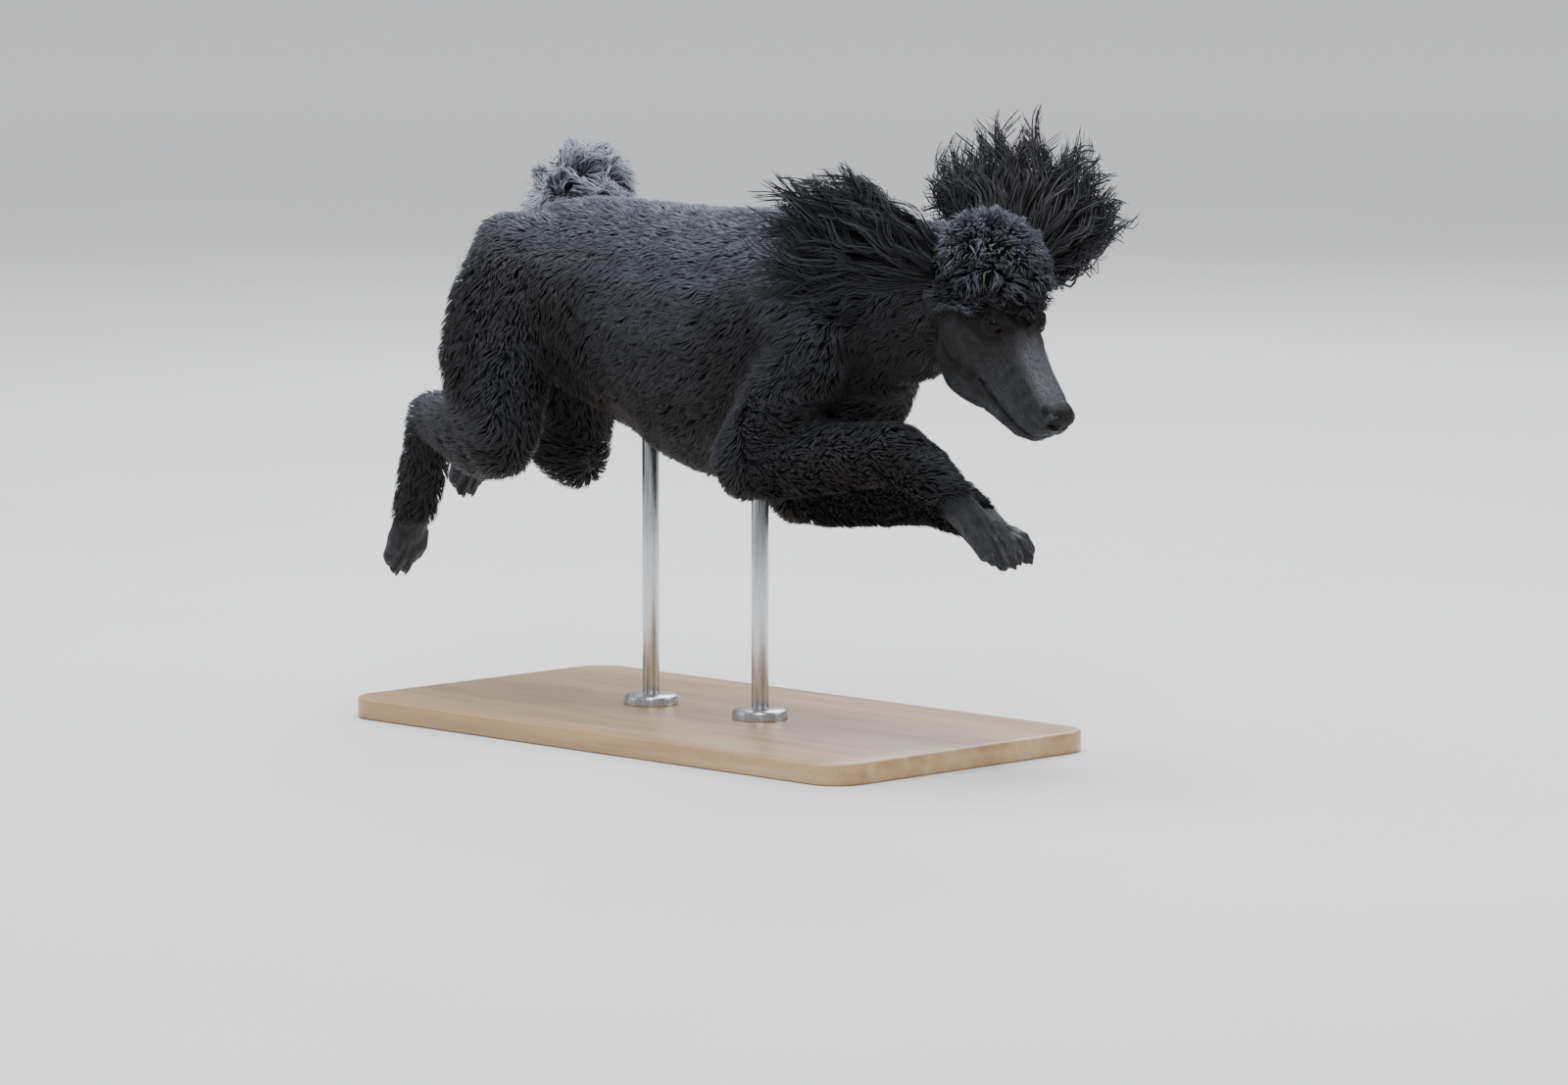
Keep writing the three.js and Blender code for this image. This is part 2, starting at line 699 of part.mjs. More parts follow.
// The dog's flesh and short coat from neck to toes, joined into one body.
function wholeBody(grow = 0) {
  const forms = [trunk(grow), neck(grow), onHead(headForm(grow))];
  for (const leg of Object.values(FORELEGS)) {
    forms.push(upperArm(leg, grow), forearm(leg, grow), paw(leg.knuckle, leg.toe, grow));
  }
  for (const leg of Object.values(HINDLEGS)) {
    forms.push(thigh(leg, grow), shank(leg, grow), rearPastern(leg, grow), paw(leg.knuckle, leg.toe, grow));
  }
  return join(forms);
}

let rest = wholeBody();

// Takes a named piece from what is left of the body: what lies past the planes and in the block.
function take(planes, low, high) {
  const region = (grow) =>
    planes.reduce(
      (found, [point, normal]) => found.intersect(halfSpace(point, normal, -grow)),
      block(low, high, grow),
    );
  const piece = largest(rest.intersect(region(0)));
  rest = rest.subtract(region(GAP));
  return piece;
}

const nodes = new THREE.Group();

// Names a solid, gives it its finish and adds it to the dog.
function place(name, solid, color, roughness = 0.9, metalness = 0) {
  const material = new THREE.MeshStandardMaterial({ color, roughness, metalness });
  const mesh = new THREE.Mesh(geometryOf(largest(solid)), material);
  mesh.name = name;
  nodes.add(mesh);
}

// A block of space round some points, grown by a margin.
function around(points, margin) {
  const low = [0, 1, 2].map((i) => Math.min(...points.map((p) => p[i])) - margin);
  const high = [0, 1, 2].map((i) => Math.max(...points.map((p) => p[i])) + margin);
  return [low, high];
}

const way = (a, b) => b.map((value, i) => value - a[i]);

// Forelegs: paw, forearm and upper arm, each cut free at its joint.
for (const [name, leg] of Object.entries(FORELEGS)) {
  const { side, shoulder, elbow, wrist, knuckle, toe } = leg;
  const cuff = between(wrist, knuckle, 0.8);
  place(
    `front_paw_${name}`,
    take([[cuff, way(wrist, knuckle)]], ...around([cuff, toe], 32)),
    FACE,
  );
  const joint = between(elbow, wrist, 0.12);
  place(
    `forearm_${name}`,
    take([[joint, way(elbow, wrist)]], ...around([joint, wrist, cuff], 46)),
    COAT,
  );
  const sheet = offset(between(shoulder, elbow, 0.5), [0, -side * 34, 0]);
  place(
    `upper_arm_${name}`,
    take(
      [[sheet, [0, side, -0.42]]],
      [elbow[0] - 48, side > 0 ? 14 : -170, 170],
      [shoulder[0] + 46, side > 0 ? 170 : -14, shoulder[2] + 48],
    ),
    COAT,
  );
}

// Hind legs: paw, rear pastern, shank and thigh.
for (const [name, leg] of Object.entries(HINDLEGS)) {
  const { side, hip, knee, hock, knuckle, toe } = leg;
  place(
    `hind_paw_${name}`,
    take([[knuckle, way(hock, knuckle)]], ...around([knuckle, toe], 34)),
    FACE,
  );
  const ankle = between(hock, knuckle, 0.12);
  const down = v3(way(hock, knuckle)).normalize();
  const back = v3(way(knee, hock)).normalize();
  const bisector = down.clone().add(back.multiplyScalar(0.25));
  place(
    `rear_pastern_${name}`,
    take([[ankle, bisector.toArray()]], ...around([ankle, knuckle], 36)),
    COAT,
  );
  const bend = between(knee, hock, 0.16);
  place(
    `shank_${name}`,
    take(
      [[offset(bend, [0, 0, 30]), [-0.45, 0, -1]]],
      [hock[0] - 40, side > 0 ? 4 : -150, 150],
      [knee[0] + 60, side > 0 ? 150 : -4, hock[2] + 40],
    ),
    COAT,
  );
  const seam = offset(between(hip, knee, 0.3), [0, -side * 10, 0]);
  place(
    `thigh_${name}`,
    take(
      [[seam, [0, side * 0.86, -0.5]]],
      [-320, side > 0 ? 4 : -170, 180],
      [-96, side > 0 ? 170 : -4, 476],
    ),
    COAT,
  );
}

// Head and neck: what lies past slanting planes behind the skull and at the withers.
const headPiece = take([[[334, -15, 430], [1, 0, -0.3]]], [290, -120, 230], [560, 120, 560]);
place("neck", take([[[176, 0, 420], [1, 0, 0.34]]], [100, -120, 260], [460, 120, 560]), COAT);
place("torso", rest, COAT);

// Head, eyes and nose.
const sockets = onHead(join([eyes(GAP), noseForm(GAP, false)]));
place("head", headPiece.subtract(sockets), FACE);
place("eye_right", onHead(eye(RIGHT)), 0x120c08, 0.08);
place("eye_left", onHead(eye(LEFT)), 0x120c08, 0.08);
place("nose", onHead(noseForm()), PAD, 0.45);

// Topknot, ears, tail and pom.
const bodyGrown = join([wholeBody(GAP), onHead(eyes(GAP))]);
const topknot = onHead(clumpedBall(TOPKNOT, 17, onSkull));
const earCores = Object.values(EARS).map((ear) => earForm(ear, EAR_CORE.reach, EAR_CORE.thick, GAP));
const topknotCut = topknot.subtract(join([bodyGrown, ...earCores]));
place("topknot", topknotCut, COAT);
for (const [name, ear] of Object.entries(EARS)) {
  place(`ear_${name}`, earWithLocks(ear, 7).subtract(bodyGrown), COAT);
}
place("tail", tailForm().subtract(bodyGrown), COAT);
place("tail_pom", clumpedBall(POM, 31).subtract(join([tailForm(GAP), bodyGrown])), 0x55565c);

// Stand: a flat base, two rods up to the belly and a collar round the foot of each.
function roundedPlate({ length, width, thick, corner, bevel }) {
  const half = [length / 2 - bevel, width / 2 - bevel];
  const shape = new THREE.Shape();
  shape.absarc(half[0] - corner, half[1] - corner, corner, 0, Math.PI / 2);
  shape.absarc(-half[0] + corner, half[1] - corner, corner, Math.PI / 2, Math.PI);
  shape.absarc(-half[0] + corner, -half[1] + corner, corner, Math.PI, Math.PI * 1.5);
  shape.absarc(half[0] - corner, -half[1] + corner, corner, Math.PI * 1.5, Math.PI * 2);
  const geometry = new THREE.ExtrudeGeometry(shape, {
    depth: thick - bevel * 2,
    bevelThickness: bevel,
    bevelSize: bevel,
    bevelSegments: 1,
    curveSegments: 4,
  });
  geometry.translate(0, 0, bevel);
  return solidOf(geometry);
}

function turned(profile, sides) {
  const geometry = new THREE.LatheGeometry(profile.map((p) => new THREE.Vector2(...p)), sides);
  geometry.rotateX(Math.PI / 2);
  return solidOf(geometry);
}

const STEEL = 0xb9bcc0;
place("stand_base", roundedPlate(BASE), 0xb08a5c, 0.55);
for (const [name, x] of [["front", ROD.xFront], ["rear", ROD.xRear]]) {
  const low = BASE.thick + GAP;
  const shape = new THREE.CylinderGeometry(ROD.radius, ROD.radius, 300, ROD.sides);
  shape.rotateX(Math.PI / 2);
  shape.translate(x, 0, low + 150);
  place(`stand_rod_${name}`, solidOf(shape).subtract(bodyGrown), STEEL, 0.3, 1);
  const inner = ROD.radius + GAP;
  const collar = turned(
    [
      [inner, 0],
      [COLLAR.radius, 0],
      [COLLAR.radius, COLLAR.height - COLLAR.bevel],
      [COLLAR.radius - COLLAR.bevel, COLLAR.height],
      [inner, COLLAR.height],
      [inner, 0],
    ],
    16,
  );
  place(`stand_collar_${name}`, collar.translate([x, 0, low]), STEEL, 0.3, 1);
}

export default nodes;
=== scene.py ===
"""A black standard poodle caught in mid-leap, life size, on a plain display stand.

Metres, in the frame of the solids: the dog leaps along +X, +Y is its left side and +Z is up.
One skin takes the place of the flesh, and its coat is built over it tuft by tuft.
"""
import logging
import math
from collections.abc import Callable
from dataclasses import dataclass
from enum import Enum

import bmesh
import bpy
import numpy as np
from mathutils import Matrix, Vector
from mathutils.bvhtree import BVHTree
from mathutils.kdtree import KDTree


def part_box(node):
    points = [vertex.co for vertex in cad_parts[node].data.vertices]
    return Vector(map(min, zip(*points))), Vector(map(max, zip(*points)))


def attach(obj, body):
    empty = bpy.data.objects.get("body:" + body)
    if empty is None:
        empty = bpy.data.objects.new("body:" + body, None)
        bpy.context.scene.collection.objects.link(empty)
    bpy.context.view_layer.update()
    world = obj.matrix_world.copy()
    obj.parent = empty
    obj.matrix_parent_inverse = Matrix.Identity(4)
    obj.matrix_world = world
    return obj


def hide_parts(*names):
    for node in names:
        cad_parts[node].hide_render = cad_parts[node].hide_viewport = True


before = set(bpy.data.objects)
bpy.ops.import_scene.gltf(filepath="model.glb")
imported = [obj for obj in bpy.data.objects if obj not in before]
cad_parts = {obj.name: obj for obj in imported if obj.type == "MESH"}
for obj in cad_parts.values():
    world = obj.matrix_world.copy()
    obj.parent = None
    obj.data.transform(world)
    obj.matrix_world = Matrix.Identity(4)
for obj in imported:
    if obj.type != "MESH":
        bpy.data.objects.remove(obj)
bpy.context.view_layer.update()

log = logging.getLogger("poodle")
Array = np.ndarray
Triple = tuple[float, float, float]
Socket = bpy.types.NodeSocket
ROOT = "root"
MOST_TRIANGLES = 190_000

# The head's own frame: its origin lies between the eyes, turned right and tipped down.
HEAD_AT = Vector((0.408, -0.030, 0.404))
HEAD_YAW = math.radians(-8.0)
HEAD_PITCH = math.radians(45.0)
HEAD_FRAME = (
    Matrix.Translation(HEAD_AT) @ Matrix.Rotation(HEAD_YAW, 4, "Z") @ Matrix.Rotation(HEAD_PITCH, 4, "Y")
)


class Side(Enum):
    """The two sides of the dog, as the sign of Y."""

    LEFT = 1
    RIGHT = -1

    @property
    def word(self) -> str:
        """Returns the side's name as the nodes of the solids use it."""
        return self.name.lower()


class Area(Enum):
    """Areas of the coat that the groomer cuts to a length of their own."""

    BODY = "body"
    NECK = "neck"
    LEG = "leg"
    CUFF = "cuff"
    FACE = "face"
    FOOT = "foot"
    TOPKNOT = "topknot"
    POM = "pom"


@dataclass(frozen=True)
class Cut:
    """How the coat of one area is cut and set.

    depth is how far the skin lies inside the solids, length and half_width are those of a tuft,
    rise is how high its tip stands, spacing is the distance between roots and lock that between
    locks, clump is how strongly a tuft is drawn to its lock, and fade is how much painted top
    light the hair gets where it faces up, as a lighter bluish grey.
    """

    depth: float
    length: float
    half_width: float
    rise: float
    spacing: float
    wave: float
    clump: float
    lock: float
    curl: float
    # Painted top light: how much lighter bluish grey the hair gets where it faces up.
    fade: float
    rings: int
    fairing: int


def cut_mm(*lengths: float, **others: float) -> Cut:
    """Makes a cut from lengths in millimetres.

    Args:
        *lengths: Its depth, length, half_width, rise and spacing.
        **others: Its other numbers, as the cut holds them.

    Returns:
        The cut, in metres.
    """
    return Cut(*(length * 0.001 for length in lengths), **others)


LONG = {"curl": 0.0, "rings": 2, "fairing": 40}
SHORT = {"wave": 0.0002, "clump": 0.0, "lock": 0.006, "curl": 0.0, "fade": 0.0, "rings": 2, "fairing": 4}
CURLED = {"lock": 0.0070, "rings": 3}
# Where the hair faces up, each cut gets a share of painted top light, a lighter bluish grey.
CUTS = {
    Area.BODY: cut_mm(10.5, 16.5, 0.88, 10.5, 2.3, wave=0.0012, clump=0.35, lock=0.0062, fade=0.78, **LONG),
    Area.NECK: cut_mm(10.5, 18.0, 0.88, 10.8, 2.3, wave=0.0013, clump=0.35, lock=0.0062, fade=0.42, **LONG),
    Area.LEG: cut_mm(9.0, 19.0, 0.92, 13.6, 2.4, wave=0.0012, clump=0.33, lock=0.0062, fade=0.34, **LONG),
    Area.CUFF: cut_mm(6.5, 16.0, 0.90, 9.8, 2.3, wave=0.0010, clump=0.28, lock=0.0060, fade=0.25, **LONG),
    Area.FACE: cut_mm(0.4, 4.6, 0.23, 0.8, 2.1, **SHORT),
    Area.FOOT: cut_mm(0.4, 4.2, 0.25, 0.7, 2.15, **SHORT),
    Area.TOPKNOT: cut_mm(
        8.5, 19.0, 0.86, 18.5, 2.0, wave=0.0018, clump=0.42, curl=0.0017, fade=0.95, fairing=24, **CURLED
    ),
    Area.POM: cut_mm(
        11.0, 30.0, 1.00, 30.0, 1.95, wave=0.0020, clump=0.24, curl=0.0019, fade=0.5, fairing=12, **CURLED
    ),
}
AREA_OF = {
    "torso": Area.BODY,
    "neck": Area.NECK,
    "tail": Area.LEG,
    "upper_arm": Area.LEG,
    "forearm": Area.CUFF,
    "thigh": Area.LEG,
    "shank": Area.LEG,
    "rear_pastern": Area.CUFF,
    "front_paw": Area.FOOT,
    "hind_paw": Area.FOOT,
    "head": Area.FACE,
    "nose": Area.FACE,
    "eye": Area.FACE,
    "topknot": Area.TOPKNOT,
    "tail_pom": Area.POM,
}

# Joints of the legs in their leaping pose.
FORELEGS = {
    "right": {
        "shoulder": (0.212, -0.064, 0.372),
        "elbow": (0.124, -0.084, 0.268),
        "wrist": (0.296, -0.047, 0.290),
        "knuckle": (0.358, -0.036, 0.238),
        "toe": (0.414, -0.027, 0.189),
    },
    "left": {
        "shoulder": (0.147, 0.062, 0.350),
        "elbow": (0.034, 0.074, 0.228),
        "wrist": (0.234, 0.060, 0.238),
        "knuckle": (0.303, 0.050, 0.216),
        "toe": (0.366, 0.042, 0.188),
    },
}
HINDLEGS = {
    "right": {
        "hip": (-0.206, -0.046, 0.432),
        "knee": (-0.186, -0.092, 0.268),
        "hock": (-0.350, -0.036, 0.277),
        "knuckle": (-0.380, -0.036, 0.180),
        "toe": (-0.400, -0.035, 0.115),
    },
    "left": {
        "hip": (-0.208, 0.046, 0.432),
        "knee": (-0.262, 0.062, 0.246),
        "hock": (-0.386, 0.058, 0.340),
        "knuckle": (-0.398, 0.060, 0.246),
        "toe": (-0.406, 0.060, 0.184),
    },
}
LEGS = (*FORELEGS.values(), *HINDLEGS.values())

# The joints that each node of a leg runs between, which its coat follows.
BONES = {
    "upper_arm": (FORELEGS, "shoulder", "elbow"),
    "forearm": (FORELEGS, "elbow", "wrist"),
    "front_paw": (FORELEGS, "knuckle", "toe"),
    "thigh": (HINDLEGS, "hip", "knee"),
    "shank": (HINDLEGS, "knee", "hock"),
    "rear_pastern": (HINDLEGS, "hock", "knuckle"),
    "hind_paw": (HINDLEGS, "knuckle", "toe"),
}


def smoothstep(low: float, high: float, value: Array) -> Array:
    """Eases from 0 at low to 1 at high.

    Args:
        low: Where the result leaves 0.
        high: Where it reaches 1.
        value: What is eased.

    Returns:
        The eased values, from 0 to 1.
    """
    t = np.clip((value - low) / (high - low), 0.0, 1.0)
    return t * t * (3.0 - 2.0 * t)


def bell(offset: Array, width: float) -> Array:
    """Returns 1 in the middle, falling smoothly to 0.37 at one width from it."""
    return np.exp(-((offset / width) ** 2))


def unit(vectors: Array) -> Array:
    """Returns vectors at length 1, along their last axis."""
    return vectors / np.maximum(np.linalg.norm(vectors, axis=-1, keepdims=True), 1e-9)


def ripple(points: Array, wavelength: float, seed: int, waves: int = 6) -> Array:
    """A smooth field that rolls up and down over space.

    Args:
        points: Places, with x, y and z last.
        wavelength: The distance from crest to crest.
        seed: Which field it is.
        waves: How many plane waves are summed.

    Returns:
        Values of about -1 to 1, one for each place.
    """
    rng = np.random.default_rng(seed)
    ways = unit(rng.normal(size=(waves, 3))) * (2.0 * math.pi / wavelength)
    ways *= rng.uniform(0.75, 1.3, (waves, 1))
    turns = rng.uniform(0.0, 2.0 * math.pi, waves)
    return np.sin(points @ ways.T + turns).sum(axis=-1) / math.sqrt(waves)


def on_head(points: Array) -> Array:
    """Takes places from the head's frame into the dog's."""
    turn = np.array(HEAD_FRAME.to_3x3())
    return points @ turn.T + np.array(HEAD_AT)


def from_head(points: Array) -> Array:
    """Takes places from the dog's frame into the head's."""
    turn = np.array(HEAD_FRAME.to_3x3())
    return (points - np.array(HEAD_AT)) @ turn


def area_of(node: str) -> Area:
    """Finds the area of the coat that a node of the solids lies in.

    Args:
        node: The node's name.

    Returns:
        The area.
    """
    for suffix in ("_left", "_right"):
        node = node.removesuffix(suffix)
    return AREA_OF[node]


def eye_centre(side: Side) -> Array:
    """Returns the middle of one eye of the solids."""
    return np.mean(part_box(f"eye_{side.word}"), axis=0)


def foot_frame(leg: dict[str, Triple]) -> tuple[Array, float, Array, Array]:
    """Measures a foot.

    Args:
        leg: The joints of its leg.

    Returns:
        Its knuckle, its length to the toe, the way along it and the way across it.
    """
    knuckle, toe = np.array(leg["knuckle"]), np.array(leg["toe"])
    along = unit(toe - knuckle)
    return knuckle, np.linalg.norm(toe - knuckle), along, unit(np.array((0.0, 1.0, 0.0)) - along * along[1])


def near(points: Array, places: list[Array], reach: float) -> Array:
    """Says which points lie within reach of any of some places.

    Args:
        points: The points.
        places: The places.
        reach: The distance.

    Returns:
        True or False for each point.
    """
    return np.min([np.linalg.norm(points - place, axis=1) for place in places], axis=0) < reach


def add_up(values: Array, owners: Array, count: int) -> Array:
    """Adds up the rows that belong together.

    Args:
        values: The rows.
        owners: The number of the sum that each row goes into.
        count: How many sums there are.

    Returns:
        One row for each sum.
    """
    return np.stack([np.bincount(owners, weights=column, minlength=count) for column in values.T], axis=1)


@dataclass(frozen=True)
class Block:
    """A block of space in the head's frame, by its lowest and highest corner."""

    low: Triple
    high: Triple

    def holds(self, points: Array) -> Array:
        """Returns whether each place lies in the block."""
        return np.all((points > self.low) & (points < self.high), axis=1)


class Surface:
    """A triangle mesh as arrays: places, triangles, edges and normals."""

    def __init__(self, mesh: bpy.types.Mesh) -> None:
        """Reads a mesh.

        Args:
            mesh: The mesh, which is left as it is.
        """
        mesh.calc_loop_triangles()
        self.points = np.empty(len(mesh.vertices) * 3)
        mesh.vertices.foreach_get("co", self.points)
        self.points = self.points.reshape(-1, 3)
        self.triangles = np.empty(len(mesh.loop_triangles) * 3, dtype=np.int32)
        mesh.loop_triangles.foreach_get("vertices", self.triangles)
        self.triangles = self.triangles.reshape(-1, 3)
        self.edges = np.empty(len(mesh.edges) * 2, dtype=np.int32)
        mesh.edges.foreach_get("vertices", self.edges)
        self.edges = self.edges.reshape(-1, 2)
        ends = np.concatenate([self.edges[:, 0], self.edges[:, 1]])
        self.valence = np.maximum(np.bincount(ends, minlength=len(self.points)), 1)

    def average(self, values: Array) -> Array:
        """Averages values over each place's neighbours.

        Args:
            values: One row for each place.

        Returns:
            The means, in the same way.
        """
        a, b = self.edges.T
        count = len(self.points)
        return (add_up(values[b], a, count) + add_up(values[a], b, count)) / self.valence[:, None]

    def diffuse(self, values: Array, rounds: int) -> Array:
        """Spreads values over the surface, so that they change smoothly.

        Args:
            values: One row for each place.
            rounds: How many times neighbours are averaged.

        Returns:
            The smoothed values.
        """
        for _ in range(rounds):
            values = 0.5 * values + 0.5 * self.average(values)
        return values

    def fair(self, rounds: Array) -> None:
        """Smooths the surface without letting it shrink.

        Args:
            rounds: How many rounds each place takes part in.
        """
        for turn in range(int(rounds.max())):
            share = (rounds > turn).astype(float)[:, None]
            for step in (0.55, -0.57):
                self.points += step * share * (self.average(self.points) - self.points)

    def normals(self) -> Array:
        """Works out the surface's normals.

        Returns:
            The normal at each place.
        """
        corners = self.triangles.T
        a, b, c = (self.points[corner] for corner in corners)
        flat = np.cross(b - a, c - a)
        return unit(sum(add_up(flat, corner, len(self.points)) for corner in corners))

    def tree(self) -> BVHTree:
        """Returns a search tree over the triangles."""
        return BVHTree.FromPolygons(self.points.tolist(), self.triangles.tolist())


def deselect() -> None:
    """Leaves nothing selected."""
    bpy.ops.object.select_all(action="DESELECT")


def activate(obj: bpy.types.Object) -> None:
    """Selects one object alone and makes it active.

    Args:
        obj: The object.
    """
    deselect()
    obj.select_set(True)
    bpy.context.view_layer.objects.active = obj


def apply_modifier(obj: bpy.types.Object, kind: str, **settings: object) -> None:
    """Adds a modifier and applies it.

    Args:
        obj: The object that it shapes.
        kind: The kind of modifier.
        **settings: Its values, by name.
    """
    activate(obj)
    modifier = obj.modifiers.new(kind.lower(), kind)
    for name, value in settings.items():
        setattr(modifier, name, value)
    bpy.ops.object.modifier_apply(modifier=modifier.name)


def shade(obj: bpy.types.Object, angle: float = 180.0) -> None:
    """Shades an object smooth.

    Args:
        obj: The object.
        angle: Edges sharper than this, in degrees, stay sharp.
    """
    activate(obj)
    if angle >= 180.0:
        bpy.ops.object.shade_smooth()
    else:
        bpy.ops.object.shade_smooth_by_angle(angle=math.radians(angle))


def settle(obj: bpy.types.Object) -> None:
    """Puts an object's place, turn and size into its mesh."""
    activate(obj)
    bpy.ops.object.transform_apply(location=True, rotation=True, scale=True)


def edit(obj: bpy.types.Object, operator: Callable, **settings: object) -> None:
    """Runs one of Blender's mesh operators on the whole of an object.

    Args:
        obj: The object.
        operator: The operator.
        **settings: Its settings.
    """
    activate(obj)
    bpy.ops.object.mode_set(mode="EDIT")
    bpy.ops.mesh.select_all(action="SELECT")
    operator(**settings)
    bpy.ops.object.mode_set(mode="OBJECT")


def dress(
    obj: bpy.types.Object, material: bpy.types.Material, replaced: tuple[str, ...] = ()
) -> None:
    """Gives a finished piece its material and its place in the frame.

    Args:
        obj: The piece.
        material: Its material.
        replaced: The nodes of the solids that it stands for.
    """
    obj.data.materials.clear()
    obj.data.materials.append(material)
    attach(obj, ROOT)
    if replaced:
        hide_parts(*replaced)
    obj.data.calc_loop_triangles()
    log.info("%s: %d triangles", obj.name, len(obj.data.loop_triangles))


def mesh_from(name: str, points: Array, triangles: Array) -> bpy.types.Object:
    """Makes an object from arrays.

    Args:
        name: The object's name.
        points: Its places.
        triangles: Three places for each triangle.

    Returns:
        The new object, in the scene.
    """
    mesh = bpy.data.meshes.new(name)
    mesh.vertices.add(len(points))
    mesh.vertices.foreach_set("co", points.astype(np.float32).ravel())
    mesh.loops.add(triangles.size)
    mesh.loops.foreach_set("vertex_index", triangles.astype(np.int32).ravel())
    mesh.polygons.add(len(triangles))
    mesh.polygons.foreach_set("loop_start", np.arange(0, triangles.size, 3, dtype=np.int32))
    mesh.polygons.foreach_set("use_smooth", np.ones(len(triangles), dtype=bool))
    mesh.update(calc_edges=True)
    obj = bpy.data.objects.new(name, mesh)
    bpy.context.collection.objects.link(obj)
    return obj


class Nodes:
    """Adds nodes to one shader tree and links them."""

    def __init__(self, tree: bpy.types.NodeTree) -> None:
        """Starts on the node tree of a material, a group or the world."""
        self.tree = tree

    def put(self, node: bpy.types.Node, inputs: dict[object, object]) -> None:
        """Fills the sockets of a node.

        Args:
            node: The node.
            inputs: Values for its sockets, or sockets to link to them.
        """
        for key, value in inputs.items():
            socket = node.inputs[key]
            if isinstance(value, Socket):
                self.tree.links.new(value, socket)
            else:
                socket.default_value = value

    def add(
        self, kind: str, inputs: dict[object, object] | None = None, **settings: object
    ) -> bpy.types.Node:
        """Adds a node.

        Args:
            kind: The node's type, without the word ShaderNode in front.
            inputs: What goes into its sockets.
            **settings: The node's own settings.

        Returns:
            The new node.
        """
        node = self.tree.nodes.new(kind if kind.startswith("Node") else f"ShaderNode{kind}")
        for name, value in settings.items():
            setattr(node, name, value)
        self.put(node, inputs or {})
        return node

    def place(self) -> Socket:
        """Returns the place on the object, in metres."""
        return self.add("TexCoord").outputs["Object"]

    def mark(self, name: str) -> Socket:
        """Returns a number that the mesh holds at each place."""
        return self.add("Attribute", attribute_name=name).outputs["Fac"]

    def scaled(self, vector: Socket, *scale: float) -> Socket:
        """Returns a vector with its three parts scaled."""
        return self.add("Mapping", {"Vector": vector, "Scale": scale}).outputs[0]

    def noise(self, vector: Socket, scale: float | Socket, detail: float, **others: float) -> Socket:
        """Returns a noise of about 0 to 1."""
        inputs = {"Vector": vector, "Scale": scale, "Detail": detail, **others}
        return self.add("TexNoise", inputs).outputs["Fac"]

    def span(self, value: Socket, low: float, high: float) -> Socket:
        """Returns 0 to 1 for a value that goes from low to high."""
        return self.add("MapRange", {"Value": value, "From Min": low, "From Max": high}).outputs[0]

    def bump(self, height: Socket, strength: float, distance: float) -> Socket:
        """Returns the normal of a relief."""
        return self.add("Bump", {"Strength": strength, "Distance": distance, "Height": height}).outputs[0]

    def group(self, name: str, inputs: dict[str, object]) -> Socket:
        """Returns the output of a shader group."""
        return self.add("Group", inputs, node_tree=bpy.data.node_groups[name]).outputs[0]

    def ramp(self, value: Socket, *stops: tuple[float, Triple]) -> Socket:
        """Turns a value into a colour.

        Args:
            value: The value from 0 to 1.
            *stops: Places and their colours.

        Returns:
            The colour's socket.
        """
        node = self.add("ValToRGB", {"Fac": value})
        elements = node.color_ramp.elements
        while len(elements) < len(stops):
            elements.new(0.5)
        for element, (place, color) in zip(elements, stops):
            element.position = place
            element.color = (*color, 1.0)
        return node.outputs["Color"]

    def mix(self, share: Socket, a: object, b: object) -> Socket:
        """Returns the first colour mixed with a share of the second."""
        return self.add("Mix", {0: share, 6: a, 7: b}, data_type="RGBA").outputs[2]

    def maths(self, operation: str, *values: object) -> Socket:
        """Returns the result of one sum of numbers or sockets."""
        return self.add("Math", dict(enumerate(values)), operation=operation).outputs[0]


def new_group(name: str, inputs: dict[str, str], outputs: dict[str, str]) -> Nodes:
    """Starts a shader group.

    Args:
        name: The group's name.
        inputs: Its inputs, by name, each with its kind of socket.
        outputs: Its outputs in the same way.

    Returns:
        A helper that adds its nodes.
    """
    tree = bpy.data.node_groups.new(name, "ShaderNodeTree")
    for direction, sockets in (("INPUT", inputs), ("OUTPUT", outputs)):
        for socket, kind in sockets.items():
            tree.interface.new_socket(socket, in_out=direction, socket_type=f"NodeSocket{kind}")
    return Nodes(tree)


def tone_group() -> None:
    """Builds the group that mottles a colour over the dog, with rusty patches."""
    colors = {"Dark": "Color", "Light": "Color", "Rust": "Color"}
    nodes = new_group("coat_tone", {**colors, "Share": "Float", "Vector": "Vector"}, {"Color": "Color"})
    given = nodes.add("NodeGroupInput").outputs
    broad = nodes.noise(given["Vector"], 7.0, 3.0)
    fine = nodes.noise(given["Vector"], 90.0, 2.0)
    share = nodes.maths("ADD", given["Share"], nodes.maths("MULTIPLY_ADD", fine, 0.7, -0.35))
    share = nodes.add("Clamp", {"Value": share}).outputs[0]
    toned = nodes.mix(share, given["Dark"], given["Light"])
    patch = nodes.maths("MULTIPLY", nodes.span(broad, 0.5, 0.75), 0.6)
    nodes.add("NodeGroupOutput", {"Color": nodes.mix(patch, toned, given["Rust"])})


def grain_group() -> None:
    """Builds the group for a fine grain, as short hair and horn have it."""
    nodes = new_group("fine_grain", {"Vector": "Vector", "Scale": "Float"}, {"Height": "Float"})
    given = nodes.add("NodeGroupInput").outputs
    coarse = nodes.noise(given["Vector"], given["Scale"], 3.0, Roughness=0.6)
    fine = nodes.noise(given["Vector"], nodes.maths("MULTIPLY", given["Scale"], 3.1), 1.0)
    nodes.add("NodeGroupOutput", {"Height": nodes.maths("MULTIPLY_ADD", fine, 0.5, coarse)})


